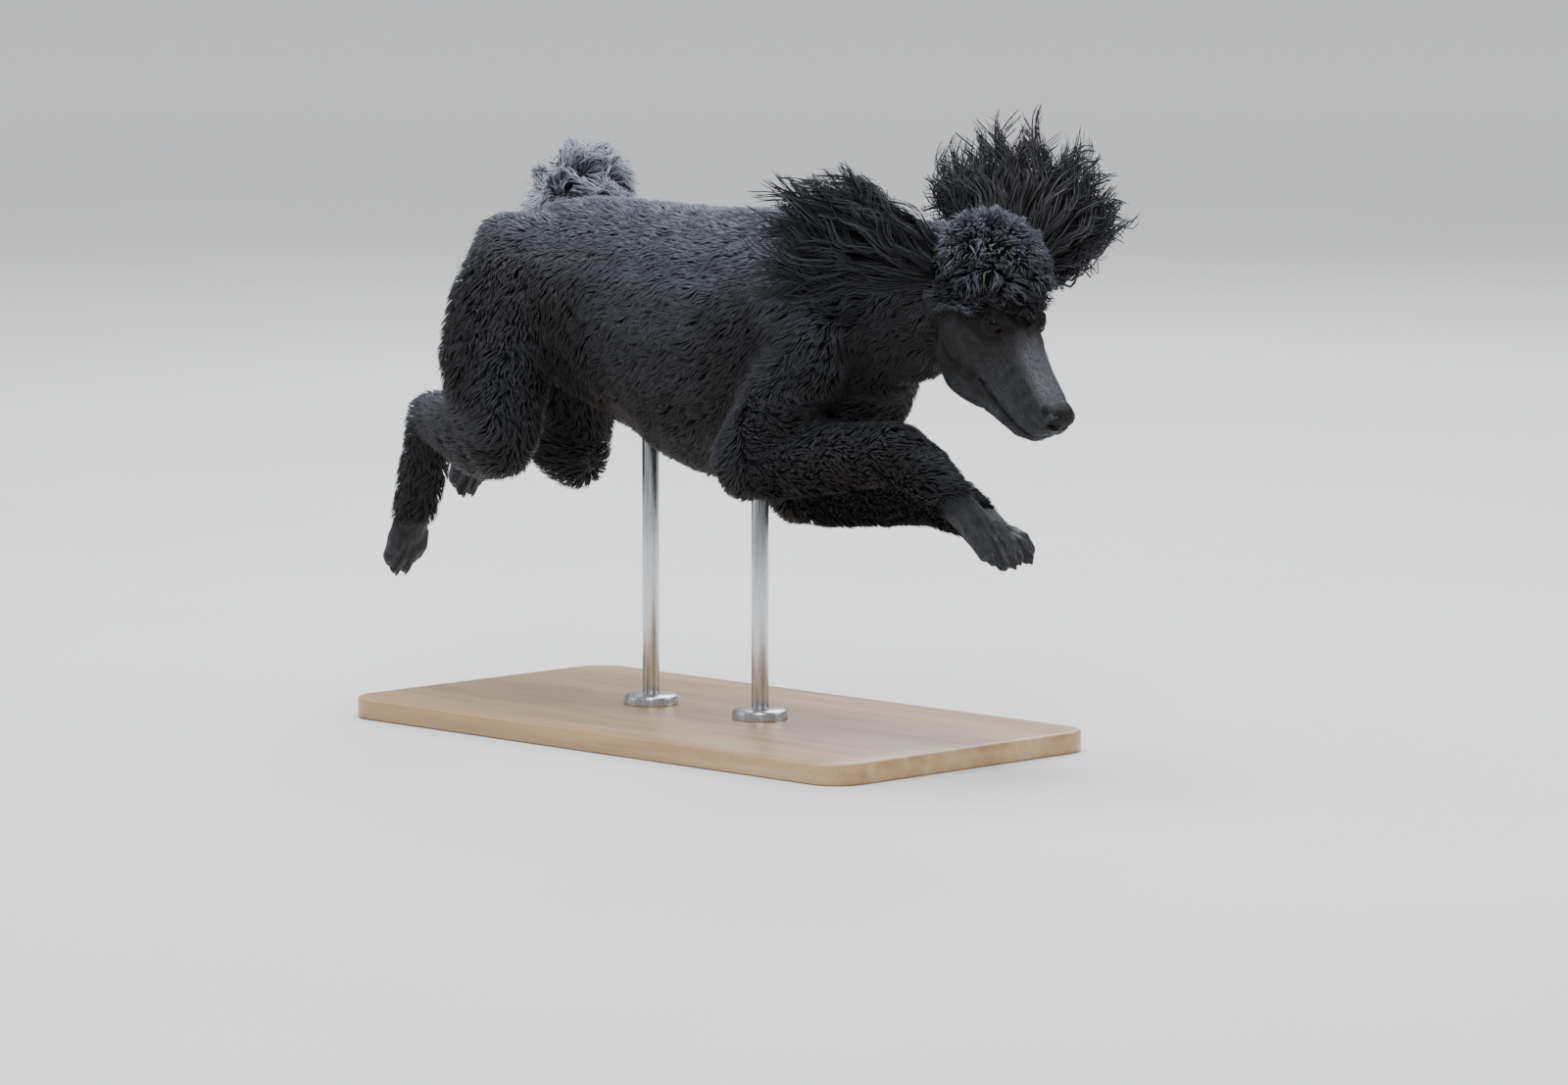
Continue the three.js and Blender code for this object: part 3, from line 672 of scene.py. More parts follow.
@dataclass(frozen=True)
class Finish:
    """A finish, whose own kinds each say what goes into its shader."""

    name: str

    def inputs(self, nodes: Nodes) -> dict[str, object]:
        """Works out the finish.

        Args:
            nodes: What adds its nodes.

        Returns:
            What goes into the shader's sockets.
        """
        raise NotImplementedError

    def make(self) -> bpy.types.Material:
        """Makes the material.

        Returns:
            The material.
        """
        material = bpy.data.materials.new(self.name)
        material.use_nodes = True
        nodes = Nodes(material.node_tree)
        nodes.put(material.node_tree.nodes["Principled BSDF"], self.inputs(nodes))
        return material


@dataclass(frozen=True)
class HairFinish(Finish):
    """Hair, by its darkest and lightest tone and the rust of its sunburnt patches."""

    dark: Triple
    light: Triple
    rust: Triple

    def tone(self, nodes: Nodes, share: Socket) -> Socket:
        """Returns the hair's colour, with a share of its lightest tone."""
        colors = {"Dark": (*self.dark, 1.0), "Light": (*self.light, 1.0), "Rust": (*self.rust, 1.0)}
        return nodes.group("coat_tone", {**colors, "Share": share, "Vector": nodes.place()})


@dataclass(frozen=True)
class CoatFinish(HairFinish):
    """The coat's tufts, dark at their roots and lighter towards their tips, which carry painted top light
    where they face up.
    """

    # The bluish grey of the painted top light.
    faded: Triple = (0.215, 0.230, 0.282)
    roughness: float = 0.38
    sheen: float = 0.035
    gloss: float = 0.21
    hairs: float = 9.0

    def inputs(self, nodes: Nodes) -> dict[str, object]:
        """Works out the finish; strand holds the way across a tuft, along it, and its shade.

        Args:
            nodes: What adds its nodes.

        Returns:
            What goes into the shader's sockets.
        """
        strand = nodes.add("Attribute", attribute_name="strand").outputs["Vector"]
        parts = nodes.add("SeparateXYZ", {0: strand}).outputs
        hair = nodes.noise(nodes.scaled(strand, self.hairs, 1.3, 60.0), 1.0, 1.0)
        tip = nodes.maths("POWER", parts["Y"], 0.7)
        light = nodes.maths("MULTIPLY_ADD", parts["Z"], 0.55, 0.15)
        light = nodes.maths("MULTIPLY_ADD", hair, 0.6, light)
        toned = self.tone(nodes, nodes.maths("MULTIPLY", light, tip))
        # Painted top light, strongest at the tips.
        fade = nodes.maths("MULTIPLY", nodes.mark("fade"), tip)
        return {
            "Base Color": nodes.mix(fade, toned, (*self.faded, 1.0)),
            "Normal": nodes.bump(hair, 0.7, 0.0004),
            "Roughness": nodes.maths("MULTIPLY_ADD", hair, 0.25, self.roughness),
            "Specular IOR Level": self.gloss,
            "Sheen Weight": self.sheen,
            "Sheen Roughness": 0.45,
            "Sheen Tint": (0.62, 0.68, 0.82, 1.0),
        }


@dataclass(frozen=True)
class SkinFinish(HairFinish):
    """Clipped black hair lying over dark skin, mostly as relief."""

    name: str = "clipped_skin"
    dark: Triple = (0.0035, 0.0033, 0.0034)
    light: Triple = (0.078, 0.081, 0.097)
    rust: Triple = (0.018, 0.012, 0.010)
    grain: float = 520.0

    def inputs(self, nodes: Nodes) -> dict[str, object]:
        """Works out the finish, with its grain along the head.

        Args:
            nodes: What adds its nodes.

        Returns:
            What goes into the shader's sockets.
        """
        turn = {"Rotation": (0.0, -HEAD_PITCH, -HEAD_YAW), "Scale": (0.3, 1.0, 1.0)}
        lie = nodes.add("Mapping", {"Vector": nodes.place(), **turn}, vector_type="TEXTURE").outputs[0]
        lie = nodes.scaled(lie, 0.35, 1.0, 1.0)
        height = nodes.group("fine_grain", {"Vector": lie, "Scale": self.grain})
        # The bright mark holds painted top light on the bridge and painted shade round the eyes.
        bright = nodes.mark("bright")
        share = nodes.maths("MULTIPLY", nodes.maths("MULTIPLY_ADD", height, 0.9, -0.15), bright)
        return {
            "Base Color": self.tone(nodes, share),
            "Normal": nodes.bump(height, 0.45, 0.0009),
            "Roughness": nodes.maths("MULTIPLY_ADD", height, -0.15, 0.62),
            "Specular IOR Level": nodes.maths("MULTIPLY_ADD", bright, 0.30, 0.10),
            "Sheen Weight": 0.06,
            "Sheen Roughness": 0.5,
            "Sheen Tint": (0.65, 0.70, 0.82, 1.0),
        }


@dataclass(frozen=True)
class LeatherFinish(Finish):
    """Moist black leather of the nose, in small raised pebbles, with a painted bluish highlight where it
    faces up.
    """

    name: str = "nose_leather"
    pebble: float = 620.0
    # The colour of the painted highlight where the nose faces up.
    above: Triple = (0.036, 0.038, 0.046)

    def inputs(self, nodes: Nodes) -> dict[str, object]:
        """Works out the finish.

        Args:
            nodes: What adds its nodes.

        Returns:
            What goes into the shader's sockets.
        """
        cells = nodes.add("TexVoronoi", {"Vector": nodes.place(), "Scale": self.pebble}, feature="SMOOTH_F1")
        raised = nodes.maths("SUBTRACT", 1.0, cells.outputs["Distance"])
        color = nodes.ramp(raised, (0.2, (0.0014, 0.0014, 0.0016)), (0.8, (0.0050, 0.0050, 0.0054)))
        # Painted highlight: the leather turns bluish grey as it faces up.
        facing = nodes.add("SeparateXYZ", {0: nodes.add("NewGeometry").outputs["Normal"]}).outputs["Z"]
        return {
            "Base Color": nodes.mix(nodes.span(facing, 0.45, 0.95), color, (*self.above, 1.0)),
            "Normal": nodes.bump(raised, 0.5, 0.0008),
            "Roughness": nodes.maths("MULTIPLY_ADD", raised, -0.12, 0.58),
            "Specular IOR Level": 0.18,
            "Coat Weight": 0.03,
            "Coat Roughness": 0.35,
        }


@dataclass(frozen=True)
class EyeFinish(Finish):
    """A wet dark brown eye with its pupil."""

    name: str = "dark_eye"

    def inputs(self, nodes: Nodes) -> dict[str, object]:
        """Works out the finish; gaze grows from the pupil's middle to the back of the eye.

        Args:
            nodes: What adds its nodes.

        Returns:
            What goes into the shader's sockets.
        """
        color = nodes.ramp(
            nodes.mark("gaze"),
            (0.0, (0.001, 0.001, 0.001)),
            (0.22, (0.001, 0.001, 0.001)),
            (0.25, (0.007, 0.0032, 0.0018)),
            (0.56, (0.0045, 0.0020, 0.0012)),
            (0.62, (0.001, 0.001, 0.001)),
            (0.80, (0.012, 0.008, 0.007)),
        )
        return {"Base Color": color, "Roughness": 0.07, "Specular IOR Level": 0.13}


@dataclass(frozen=True)
class HornFinish(Finish):
    """Dark horn of the claws."""

    name: str = "claw_horn"
    grain: float = 420.0

    def inputs(self, nodes: Nodes) -> dict[str, object]:
        """Works out the finish.

        Args:
            nodes: What adds its nodes.

        Returns:
            What goes into the shader's sockets.
        """
        height = nodes.group("fine_grain", {"Vector": nodes.place(), "Scale": self.grain})
        return {
            "Base Color": nodes.ramp(height, (0.4, (0.004, 0.0035, 0.003)), (0.95, (0.022, 0.018, 0.016))),
            "Normal": nodes.bump(height, 0.3, 0.0004),
            "Roughness": 0.32,
        }


@dataclass(frozen=True)
class BeechFinish(Finish):
    """Satin lacquered beech with its grain along the board."""

    name: str = "lacquered_beech"
    fleck: Triple = (0.24, 0.13, 0.055)

    def inputs(self, nodes: Nodes) -> dict[str, object]:
        """Works out the finish, with the beech's short dark flecks.

        Args:
            nodes: What adds its nodes.

        Returns:
            What goes into the shader's sockets.
        """
        place = nodes.place()
        rings = nodes.noise(nodes.scaled(place, 1.3, 14.0, 14.0), 3.2, 6.0, Distortion=0.5)
        flecks = nodes.noise(nodes.scaled(place, 45.0, 520.0, 520.0), 1.0, 2.0)
        color = nodes.ramp(
            rings,
            (0.30, (0.330, 0.195, 0.090)),
            (0.52, (0.440, 0.285, 0.145)),
            (0.72, (0.520, 0.360, 0.200)),
        )
        dark = nodes.maths("MULTIPLY", nodes.span(flecks, 0.62, 0.72), 0.35)
        return {
            "Base Color": nodes.mix(dark, color, (*self.fleck, 1.0)),
            "Normal": nodes.bump(flecks, 0.12, 0.0005),
            "Roughness": nodes.maths("MULTIPLY_ADD", rings, 0.12, 0.30),
            "Coat Weight": 0.3,
            "Coat Roughness": 0.25,
        }


@dataclass(frozen=True)
class SteelFinish(Finish):
    """Satin steel, brushed along the rods."""

    name: str = "satin_steel"
    brush: float = 900.0

    def inputs(self, nodes: Nodes) -> dict[str, object]:
        """Works out the finish.

        Args:
            nodes: What adds its nodes.

        Returns:
            What goes into the shader's sockets.
        """
        brushed = nodes.noise(nodes.scaled(nodes.place(), 1.0, 1.0, 0.03), self.brush, 2.0)
        return {
            "Base Color": nodes.ramp(brushed, (0.3, (0.50, 0.505, 0.52)), (0.7, (0.66, 0.665, 0.68))),
            "Normal": nodes.bump(brushed, 0.1, 0.0002),
            "Roughness": nodes.maths("MULTIPLY_ADD", brushed, 0.16, 0.20),
            "Metallic": 1.0,
        }


@dataclass(frozen=True)
class FloorFinish(Finish):
    """The pale matt floor of the studio, which brightens into the distance."""

    name: str = "pale_floor"
    distant: Triple = (0.96, 0.96, 0.95)

    def inputs(self, nodes: Nodes) -> dict[str, object]:
        """Works out the finish.

        Args:
            nodes: What adds its nodes.

        Returns:
            What goes into the shader's sockets.
        """
        place = nodes.place()
        color = nodes.ramp(nodes.noise(place, 1.4, 4.0), (0.3, (0.70, 0.70, 0.69)), (0.7, (0.74, 0.74, 0.73)))
        away = nodes.add("VectorMath", {0: place}, operation="LENGTH").outputs["Value"]
        color = nodes.mix(nodes.span(away, 2.5, 12.0), color, (*self.distant, 1.0))
        return {"Base Color": color, "Roughness": 0.8}


@dataclass
class Studio:
    """The camera at the photograph's angle, a pale floor and soft light.

    Each lamp has a name, a place, the side of its square, its power in watts and its colour.
    """

    look_at: Triple = (0.0361, 0.0574, 0.1779)
    distance: float = 6.6
    azimuth: float = 45.0
    elevation: float = 6.5
    lens: float = 162.0
    sensor: float = 36.0
    farthest: float = 200.0
    floor_radius: float = 60.0
    lit: Triple = (0.0, 0.0, 0.35)
    lamps: tuple[tuple[str, Triple, float, float, Triple], ...] = (
        ("key", (3.2, -3.4, 3.9), 2.0, 125.0, (1.0, 0.985, 0.96)),
        ("fill", (-3.4, -3.6, 2.2), 3.0, 30.0, (0.93, 0.96, 1.0)),
        ("sky", (-0.4, 0.2, 4.2), 2.6, 240.0, (0.92, 0.95, 1.0)),
        ("rim", (-2.6, 3.6, 3.2), 2.0, 100.0, (0.95, 0.97, 1.0)),
        ("far_rim", (3.4, 3.0, 2.6), 2.0, 55.0, (1.0, 0.98, 0.95)),
    )
    brightness: float = 1.15

    def camera(self) -> None:
        """Sets up the camera."""
        turn = math.radians(self.azimuth)
        tilt = math.radians(self.elevation)
        back = Vector((math.sin(turn) * math.cos(tilt), -math.cos(turn) * math.cos(tilt), math.sin(tilt)))
        data = bpy.data.cameras.new("camera")
        data.lens = self.lens
        data.sensor_width = self.sensor
        data.clip_end = self.farthest
        camera = bpy.data.objects.new("camera", data)
        camera.location = Vector(self.look_at) + back * self.distance
        camera.rotation_euler = (-back).to_track_quat("-Z", "Y").to_euler()
        bpy.context.collection.objects.link(camera)
        bpy.context.scene.camera = camera

    def floor(self, material: bpy.types.Material) -> None:
        """Lays the floor.

        Args:
            material: The floor's material.
        """
        deselect()
        bpy.ops.mesh.primitive_circle_add(vertices=96, radius=self.floor_radius, fill_type="NGON")
        plane = bpy.context.active_object
        plane.name = "floor"
        settle(plane)
        plane.data.materials.append(material)

    def light(self) -> None:
        """Hangs the soft lamps and sets the pale surroundings."""
        for name, at, size, power, color in self.lamps:
            data = bpy.data.lights.new(name, "AREA")
            data.shape = "SQUARE"
            data.size = size
            data.energy = power
            data.color = color
            lamp = bpy.data.objects.new(name, data)
            lamp.location = at
            aim = Vector(self.lit) - Vector(at)
            lamp.rotation_euler = aim.to_track_quat("-Z", "Y").to_euler()
            bpy.context.collection.objects.link(lamp)
        world = bpy.data.worlds.new("surroundings")
        bpy.context.scene.world = world
        world.use_nodes = True
        nodes = Nodes(world.node_tree)
        way = nodes.add("TexCoord").outputs["Generated"]
        height = nodes.maths("ABSOLUTE", nodes.add("SeparateXYZ", {0: way}).outputs["Z"])
        wall = nodes.ramp(
            height,
            (0.0, (0.22, 0.23, 0.24)),
            (0.45, (0.30, 0.31, 0.33)),
            (0.85, (0.96, 0.97, 1.0)),
        )
        nodes.put(world.node_tree.nodes["Background"], {"Color": wall, "Strength": self.brightness})


@dataclass
class Flesh:
    """The dog's one skin, from the neck to the toes, sunk by the coat's depth.

    swells fill out the legs' hair: a middle, and how far the skin moves there. hairline is where
    the topknot ends, as x and z in the head's frame, and the blocks and distances named fine say
    where the skin gets smaller faces. Names that end in rounds say how often values are spread.
    """

    voxel: float = 0.005
    seam: float = 0.0004
    fine_head: Block = Block((-0.10, -0.07, -0.10), (math.inf, 0.07, 0.05))
    fine_face: Block = Block((-0.035, -0.06, -0.075), (math.inf, 0.06, 0.022))
    fine_foot: float = 0.052
    fine_toe: float = 0.034
    fine_eye: float = 0.021
    fit_rounds: int = 3
    blend_rounds: int = 14
    crown_rounds: int = 30
    sink_rounds: int = 4
    standing_rounds: int = 6
    standing: tuple[float, float] = (-0.3, 2.0)
    swell_reach: float = 0.050
    swells: tuple[tuple[Triple, Triple], ...] = (
        ((-0.255, 0.078, 0.215), (0.0070, 0.0070, -0.0130)),
        ((-0.250, -0.075, 0.225), (0.0, 0.0, -0.0090)),
        ((-0.352, -0.030, 0.215), (0.0055, 0.0035, 0.0)),
    )
    hairline: tuple[tuple[float, float], ...] = (
        (-0.120, -0.048),
        (-0.067, -0.031),
        (-0.018, 0.000),
        (0.005, 0.012),
    )
    hair_edge: tuple[float, float] = (-0.003, 0.006)
    hair_front: tuple[float, float] = (0.010, 0.002)
    hair_cheek: tuple[float, float] = (-0.030, -0.070)
    bare_eye: tuple[float, float] = (0.0135, 0.0240)
    crown_least: float = 0.4
    crown_turn: tuple[float, float] = (-0.085, -0.045)
    ordinary: tuple[str, ...] = ("torso", "neck", "head", "topknot", "nose", "tail", "tail_pom")
    paired: tuple[str, ...] = ("eye", *BONES)

    @property
    def names(self) -> list[str]:
        """Returns the nodes of the solids that are flesh."""
        return [*self.ordinary, *(f"{name}_{side.word}" for name in self.paired for side in Side)]

    def solids(self) -> bpy.types.Object:
        """Joins copies of the solids' nodes of flesh, each a little grown to close its seams.

        Returns:
            One object that holds them all.
        """
        copies = []
        for name in self.names:
            copy = bpy.data.objects.new(f"flesh_{name}", bpy.data.objects[name].data.copy())
            bpy.context.collection.objects.link(copy)
            edit(copy, bpy.ops.mesh.remove_doubles, threshold=1e-5)
            form = Surface(copy.data)
            grown = form.points + form.normals() * self.seam
            copy.data.vertices.foreach_set("co", grown.ravel())
            copies.append(copy)
        deselect()
        for copy in copies:
            copy.select_set(True)
        bpy.context.view_layer.objects.active = copies[0]
        bpy.ops.object.join()
        return copies[0]

    def guide(self) -> tuple[BVHTree, list[str]]:
        """Builds a search tree over the solids.

        Returns:
            The tree, and the node that each of its triangles belongs to.
        """
        points: list[list[float]] = []
        triangles: list[list[int]] = []
        owners: list[str] = []
        for name in self.names:
            form = Surface(bpy.data.objects[name].data)
            triangles += (form.triangles + len(points)).tolist()
            points += form.points.tolist()
            owners += [name] * len(form.triangles)
        return BVHTree.FromPolygons(points, triangles), owners

    def refine(self, obj: bpy.types.Object) -> None:
        """Splits the faces of head and feet finer, those of face and toes again, and the eyes' once more.

        Args:
            obj: The skin.
        """
        ends = [(np.array(leg["knuckle"]), np.array(leg["toe"])) for leg in LEGS]
        feet = [(knuckle + 2.0 * toe) / 3.0 for knuckle, toe in ends]
        toes = [toe for _, toe in ends]
        eyes = [eye_centre(side) for side in Side]
        mesh = bmesh.new()
        mesh.from_mesh(obj.data)
        for stage in range(3):
            mesh.faces.ensure_lookup_table()
            centres = np.array([face.calc_center_median() for face in mesh.faces])
            in_head = from_head(centres)
            on_face = self.fine_face.holds(in_head)
            chosen = (
                self.fine_head.holds(in_head) | near(centres, feet, self.fine_foot),
                on_face | near(centres, toes, self.fine_toe),
                on_face & near(centres, eyes, self.fine_eye),
            )[stage]
            edges = {edge for face, take in zip(mesh.faces, chosen) if take for edge in face.edges}
            bmesh.ops.subdivide_edges(mesh, edges=list(edges), cuts=1, use_grid_fill=True)
        bmesh.ops.triangulate(mesh, faces=mesh.faces)
        mesh.to_mesh(obj.data)
        mesh.free()

    def lie(self, name: str) -> Array:
        """Says which way the coat lies on a node.

        Args:
            name: The node.

        Returns:
            The direction, of length 1, from root to tip.
        """
        stem, _, side = name.rpartition("_")
        if stem in BONES:
            legs, start, end = BONES[stem]
            return unit(np.array(legs[side][end]) - np.array(legs[side][start]))
        turn = np.array(HEAD_FRAME.to_3x3())
        ways = {
            "torso": np.array((-0.86, 0.0, -0.5)),
            "neck": np.array((-0.85, 0.0, -0.55)),
            "tail": np.array((-0.4, 0.85, 0.3)),
            "tail_pom": np.array((0.0, 0.35, -0.3)),
            "topknot": turn @ np.array((0.65, 0.0, -0.45)),
            "head": turn @ np.array((-1.0, 0.0, -0.12)),
            "nose": turn @ np.array((-1.0, 0.0, 0.0)),
            "eye": turn @ np.array((-1.0, 0.0, 0.0)),
        }
        return unit(ways["eye" if stem == "eye" else name])

    @staticmethod
    def numbers(cut: Cut) -> tuple[float, ...]:
        """Returns the numbers of a cut that change gradually over the skin."""
        return cut.depth, cut.length, cut.half_width, cut.rise, cut.wave, cut.clump, cut.curl, cut.fade

    def swell(self, surface: Surface) -> None:
        """Fills out the legs where their hair hangs beyond the solids.

        Args:
            surface: The skin, which is changed.
        """
        normals = surface.normals()
        for centre, way in self.swells:
            share = bell(np.linalg.norm(surface.points - centre, axis=1), self.swell_reach)
            facing = smoothstep(-0.1, 0.7, normals @ unit(np.array(way)))
            surface.points += (share * facing)[:, None] * np.array(way)

    def crown(self, surface: Surface, nodes: list[str]) -> Array:
        """Finds how far each place belongs to the topknot, which ends at the hairline.

        Args:
            surface: The skin.
            nodes: The node that each place lies on.

        Returns:
            A share from 0 to 1 for each place.
        """
        local = from_head(surface.points)
        above = local[:, 2] - np.interp(local[:, 0], *zip(*self.hairline))
        share = smoothstep(*self.hair_edge, above) * smoothstep(*self.hair_front, local[:, 0])
        share = np.maximum(share, smoothstep(*self.hair_cheek, local[:, 0]))
        share = np.where([node == "topknot" for node in nodes], 1.0, share)
        for side in Side:
            away = np.linalg.norm(local - from_head(eye_centre(side)), axis=1)
            share *= smoothstep(*self.bare_eye, away)
        return surface.diffuse(share[:, None], self.crown_rounds)[:, 0]

    def sink(self, surface: Surface, outer: Array, numbers: Array) -> Array:
        """Sinks the skin by the coat's depth, and raises the tufts to where the solids ended.

        Args:
            surface: The skin, which is changed.
            outer: Where its places lay before it was smoothed.
            numbers: The cut's numbers at each place, whose rise is changed.

        Returns:
            The skin's normals.
        """
        depth = numbers[:, 0]
        surface.points -= surface.diffuse(surface.normals(), self.sink_rounds) * depth[:, None]
        normals = surface.normals()
        sunk = ((outer - surface.points) * normals).sum(axis=1)
        least, most = self.standing
        standing = np.clip(sunk - depth, least * depth, most * depth)
        numbers[:, 3] += surface.diffuse(standing[:, None], self.standing_rounds)[:, 0]
        return normals

    def build(self) -> tuple[bpy.types.Object, Surface, dict[str, Array]]:
        """Builds the skin.

        Returns:
            The skin, its surface as arrays, and what the coat needs to know at each place: the
            area, the lie and the cut's numbers.
        """
        skin = self.solids()
        skin.name = "skin"
        skin.data.name = "skin"
        apply_modifier(skin, "REMESH", mode="VOXEL", voxel_size=self.voxel)
        self.refine(skin)
        surface = Surface(skin.data)
        tree, owners = self.guide()
        nearest = [tree.find_nearest(Vector(point)) for point in surface.points]
        nodes = [owners[hit[2]] for hit in nearest]
        areas = [area_of(node) for node in nodes]
        fine = np.array([float(area in (Area.FACE, Area.FOOT)) for area in areas])[:, None]
        places = np.array([tuple(hit[0]) for hit in nearest])
        surface.points += surface.diffuse(fine, self.fit_rounds) * (places - surface.points)
        self.swell(surface)
        outer = surface.points.copy()
        crown = self.crown(surface, nodes)
        of_face = np.array([area is Area.FACE for area in areas])
        capped = of_face & (crown > self.crown_least)
        areas = [Area.TOPKNOT if cap else area for area, cap in zip(areas, capped)]
        surface.fair(np.array([CUTS[area].fairing for area in areas]))
        ways = {node: self.lie(node) for node in set(nodes)}
        lie = np.array([ways[node] for node in nodes])
        forward = crown * smoothstep(*self.crown_turn, from_head(surface.points)[:, 0])
        lie += (of_face * forward)[:, None] * (ways["topknot"] - lie)
        numbers = np.array([self.numbers(CUTS[area]) for area in areas])
        short, long = (np.array(self.numbers(CUTS[area])) for area in (Area.FACE, Area.TOPKNOT))
        of_head = of_face | np.array([area is Area.TOPKNOT for area in areas])
        numbers = np.where(of_head[:, None], short + (long - short) * crown[:, None], numbers)
        numbers = surface.diffuse(numbers, self.blend_rounds)
        lie = surface.diffuse(lie, self.blend_rounds)
        normals = self.sink(surface, outer, numbers)
        lie = unit(lie - normals * (lie * normals).sum(axis=1, keepdims=True))
        order = list(Area)
        area_numbers = np.array([order.index(area) for area in areas])
        return skin, surface, {"area": area_numbers, "lie": lie, "numbers": numbers}


@dataclass
class Toes:
    """The furrows that part the four toes of each foot, which spread towards their tips."""

    furrows: tuple[float, ...] = (-0.0105, 0.0, 0.0105)
    width: float = 0.0014
    depth: float = 0.0034
    reach: float = 1.6

    def sculpt(self, surface: Surface) -> None:
        """Presses the furrows into the skin.

        Args:
            surface: The skin, which is changed.
        """
        normals = surface.normals()
        for leg in LEGS:
            knuckle, long, along, across = foot_frame(leg)
            offset = surface.points - knuckle
            share = offset @ along / long
            close = (np.linalg.norm(offset, axis=1) < self.reach * long) * smoothstep(0.30, 0.75, share)
            for furrow in self.furrows:
                pressed = bell(offset @ across - furrow * (0.75 + 0.35 * share), self.width)
                surface.points -= normals * (self.depth * pressed * close)[:, None]


@dataclass(frozen=True)
class Mound:
    """A soft rise or hollow of the head, by its height, its middle and its spread along x and z.

    Between the two distances of side it comes in, away from the middle of the head.
    """

    height: float
    middle: tuple[float, float]
    spread: tuple[float, float]
    side: tuple[float, float] | None = None

    def shift(self, x: Array, y: Array, z: Array) -> Array:
        """Returns how far it lifts each place."""
        shape = bell(x - self.middle[0], self.spread[0]) * bell(z - self.middle[1], self.spread[1])
        return self.height * shape * (smoothstep(*self.side, np.abs(y)) if self.side else 1.0)


@dataclass
class Face:
    """Folds of the skin on the head: lids, lips, mouth, brow and cheek. Head's frame.

    across, upper and lower say how far the lids open, in degrees, past_corner is how fast they
    close beyond that, in metres a degree, and lid_ends is where they merge into the face. Each
    fold of the mouth has a height, a place over its line and a width, and so has the lid's
    crease. The tones say how bright the skin is, how much painted top light the bridge gets, how
    much darker it is at the lips, and how much painted shade lies round the eyes.
    """

    eye_radius: float = 0.0105
    bulge: float = 0.0006
    look: Triple = (0.62, 0.72, 0.30)
    corner: Triple = (0.74, -0.62, -0.16)
    across: float = 64.0
    upper: float = 27.0
    lower: float = 20.0
    lid: float = 0.0015
    crease: Triple = (0.0007, 0.0052, 0.0011)
    lid_ends: tuple[float, float] = (0.0035, 0.0105)
    socket: float = 0.0035
    past_corner: float = 1.8e-4
    mouth: tuple[tuple[float, float], ...] = (
        (0.108, -0.023),
        (0.090, -0.0325),
        (0.070, -0.0385),
        (0.048, -0.0420),
        (0.028, -0.0430),
        (0.012, -0.0395),
    )
    folds: tuple[Triple, ...] = (
        (-0.0017, 0.0, 0.0013),
        (0.0013, 0.0045, 0.0035),
        (0.0007, -0.0035, 0.0022),
    )
    cheek: Mound = Mound(0.0018, (-0.012, -0.018), (0.018, 0.013), (0.02, 0.03))
    under_eye: Mound = Mound(-0.0036, (0.030, -0.010), (0.018, 0.013), (0.010, 0.020))
    brow: Mound = Mound(0.0022, (-0.006, 0.022), (0.013, 0.007), (0.010, 0.018))
    jowl: Mound = Mound(0.0085, (0.002, -0.064), (0.026, 0.020))
    furrow: float = 0.0012
    block: Block = Block((-0.05, -0.07, -0.09), (0.13, 0.07, 0.045))
    nose_at: tuple[float, float] = (0.085, -0.0045)
    nose_half: tuple[float, float] = (0.0145, 0.0100)
    nose_wall: float = 0.094
    foot_tone: float = 0.46
    head_tone: float = 0.08
    muzzle_tone: float = 0.26
    # Painted top light on the bridge of the muzzle.
    bridge_tone: float = 0.80
    lip_tone: float = 0.10
    # Painted shade round the eyes, under the brow.
    eye_tone: float = 0.35

    def eye_frame(self, side: Side) -> tuple[Array, Array, Array, Array]:
        """Finds one eye and the way it looks.

        Args:
            side: Which eye.

        Returns:
            Its centre, the way it looks, the way to its inner corner, and the way over it.
        """
        look = unit(np.array(self.look) * (1, side.value, 1))
        inner = np.array(self.corner) * (1, side.value, 1)
        inner = unit(inner - look * (inner @ look))
        over = np.cross(look, inner) * -side.value
        return from_head(eye_centre(side)), look, inner, unit(over)

    def over_mouth(self, x: Array, z: Array) -> Array:
        """Returns how high each place lies over the line of the mouth."""
        line = np.array(self.mouth)[::-1]
        return z - np.interp(x, line[:, 0], line[:, 1])

    def lids(self, points: Array, side: Side) -> Array:
        """Draws the skin round one eyeball and opens it along the lids.

        Args:
            points: Places of the skin.
            side: Which eye.

        Returns:
            The new places.
        """
        centre, look, inner, over = self.eye_frame(side)
        ray = points - centre
        reach = np.linalg.norm(ray, axis=1)
        ray_unit = ray / np.maximum(reach, 1e-6)[:, None]
        turn = np.degrees(np.arctan2(ray_unit @ inner, ray_unit @ look))
        lift = np.degrees(np.arcsin(np.clip(ray_unit @ over, -1, 1)))
        open_at = np.clip(1.0 - (turn / self.across) ** 2, 0.0, 1.0) ** 0.8
        edge = np.where(lift > 0, self.upper, self.lower) * open_at
        beyond = (np.abs(lift) - edge) * math.radians(self.eye_radius)
        past = np.abs(turn) - self.across
        beyond = np.where(past > 0.0, np.maximum(beyond, past * self.past_corner), beyond)
        rim = smoothstep(-0.0002, 0.0012, beyond)
        plate = self.eye_radius + self.lid * rim
        height, middle, width = self.crease
        crease = height * bell(beyond - middle, width) * (lift > 0)
        merged = smoothstep(*self.lid_ends, beyond)
        target = (plate - crease) * (1.0 - merged) + np.maximum(reach, plate) * merged
        inside = 1.0 - smoothstep(-0.0009, 0.0001, beyond)
        target = target * (1.0 - inside) + (self.eye_radius - self.socket) * inside
        facing = ray_unit @ look
        weight = (facing > -0.15) * (1.0 - smoothstep(0.017, 0.024, reach)) * smoothstep(-0.15, 0.25, facing)
        moved = centre + ray_unit * target[:, None]
        return points + (moved - points) * weight[:, None]

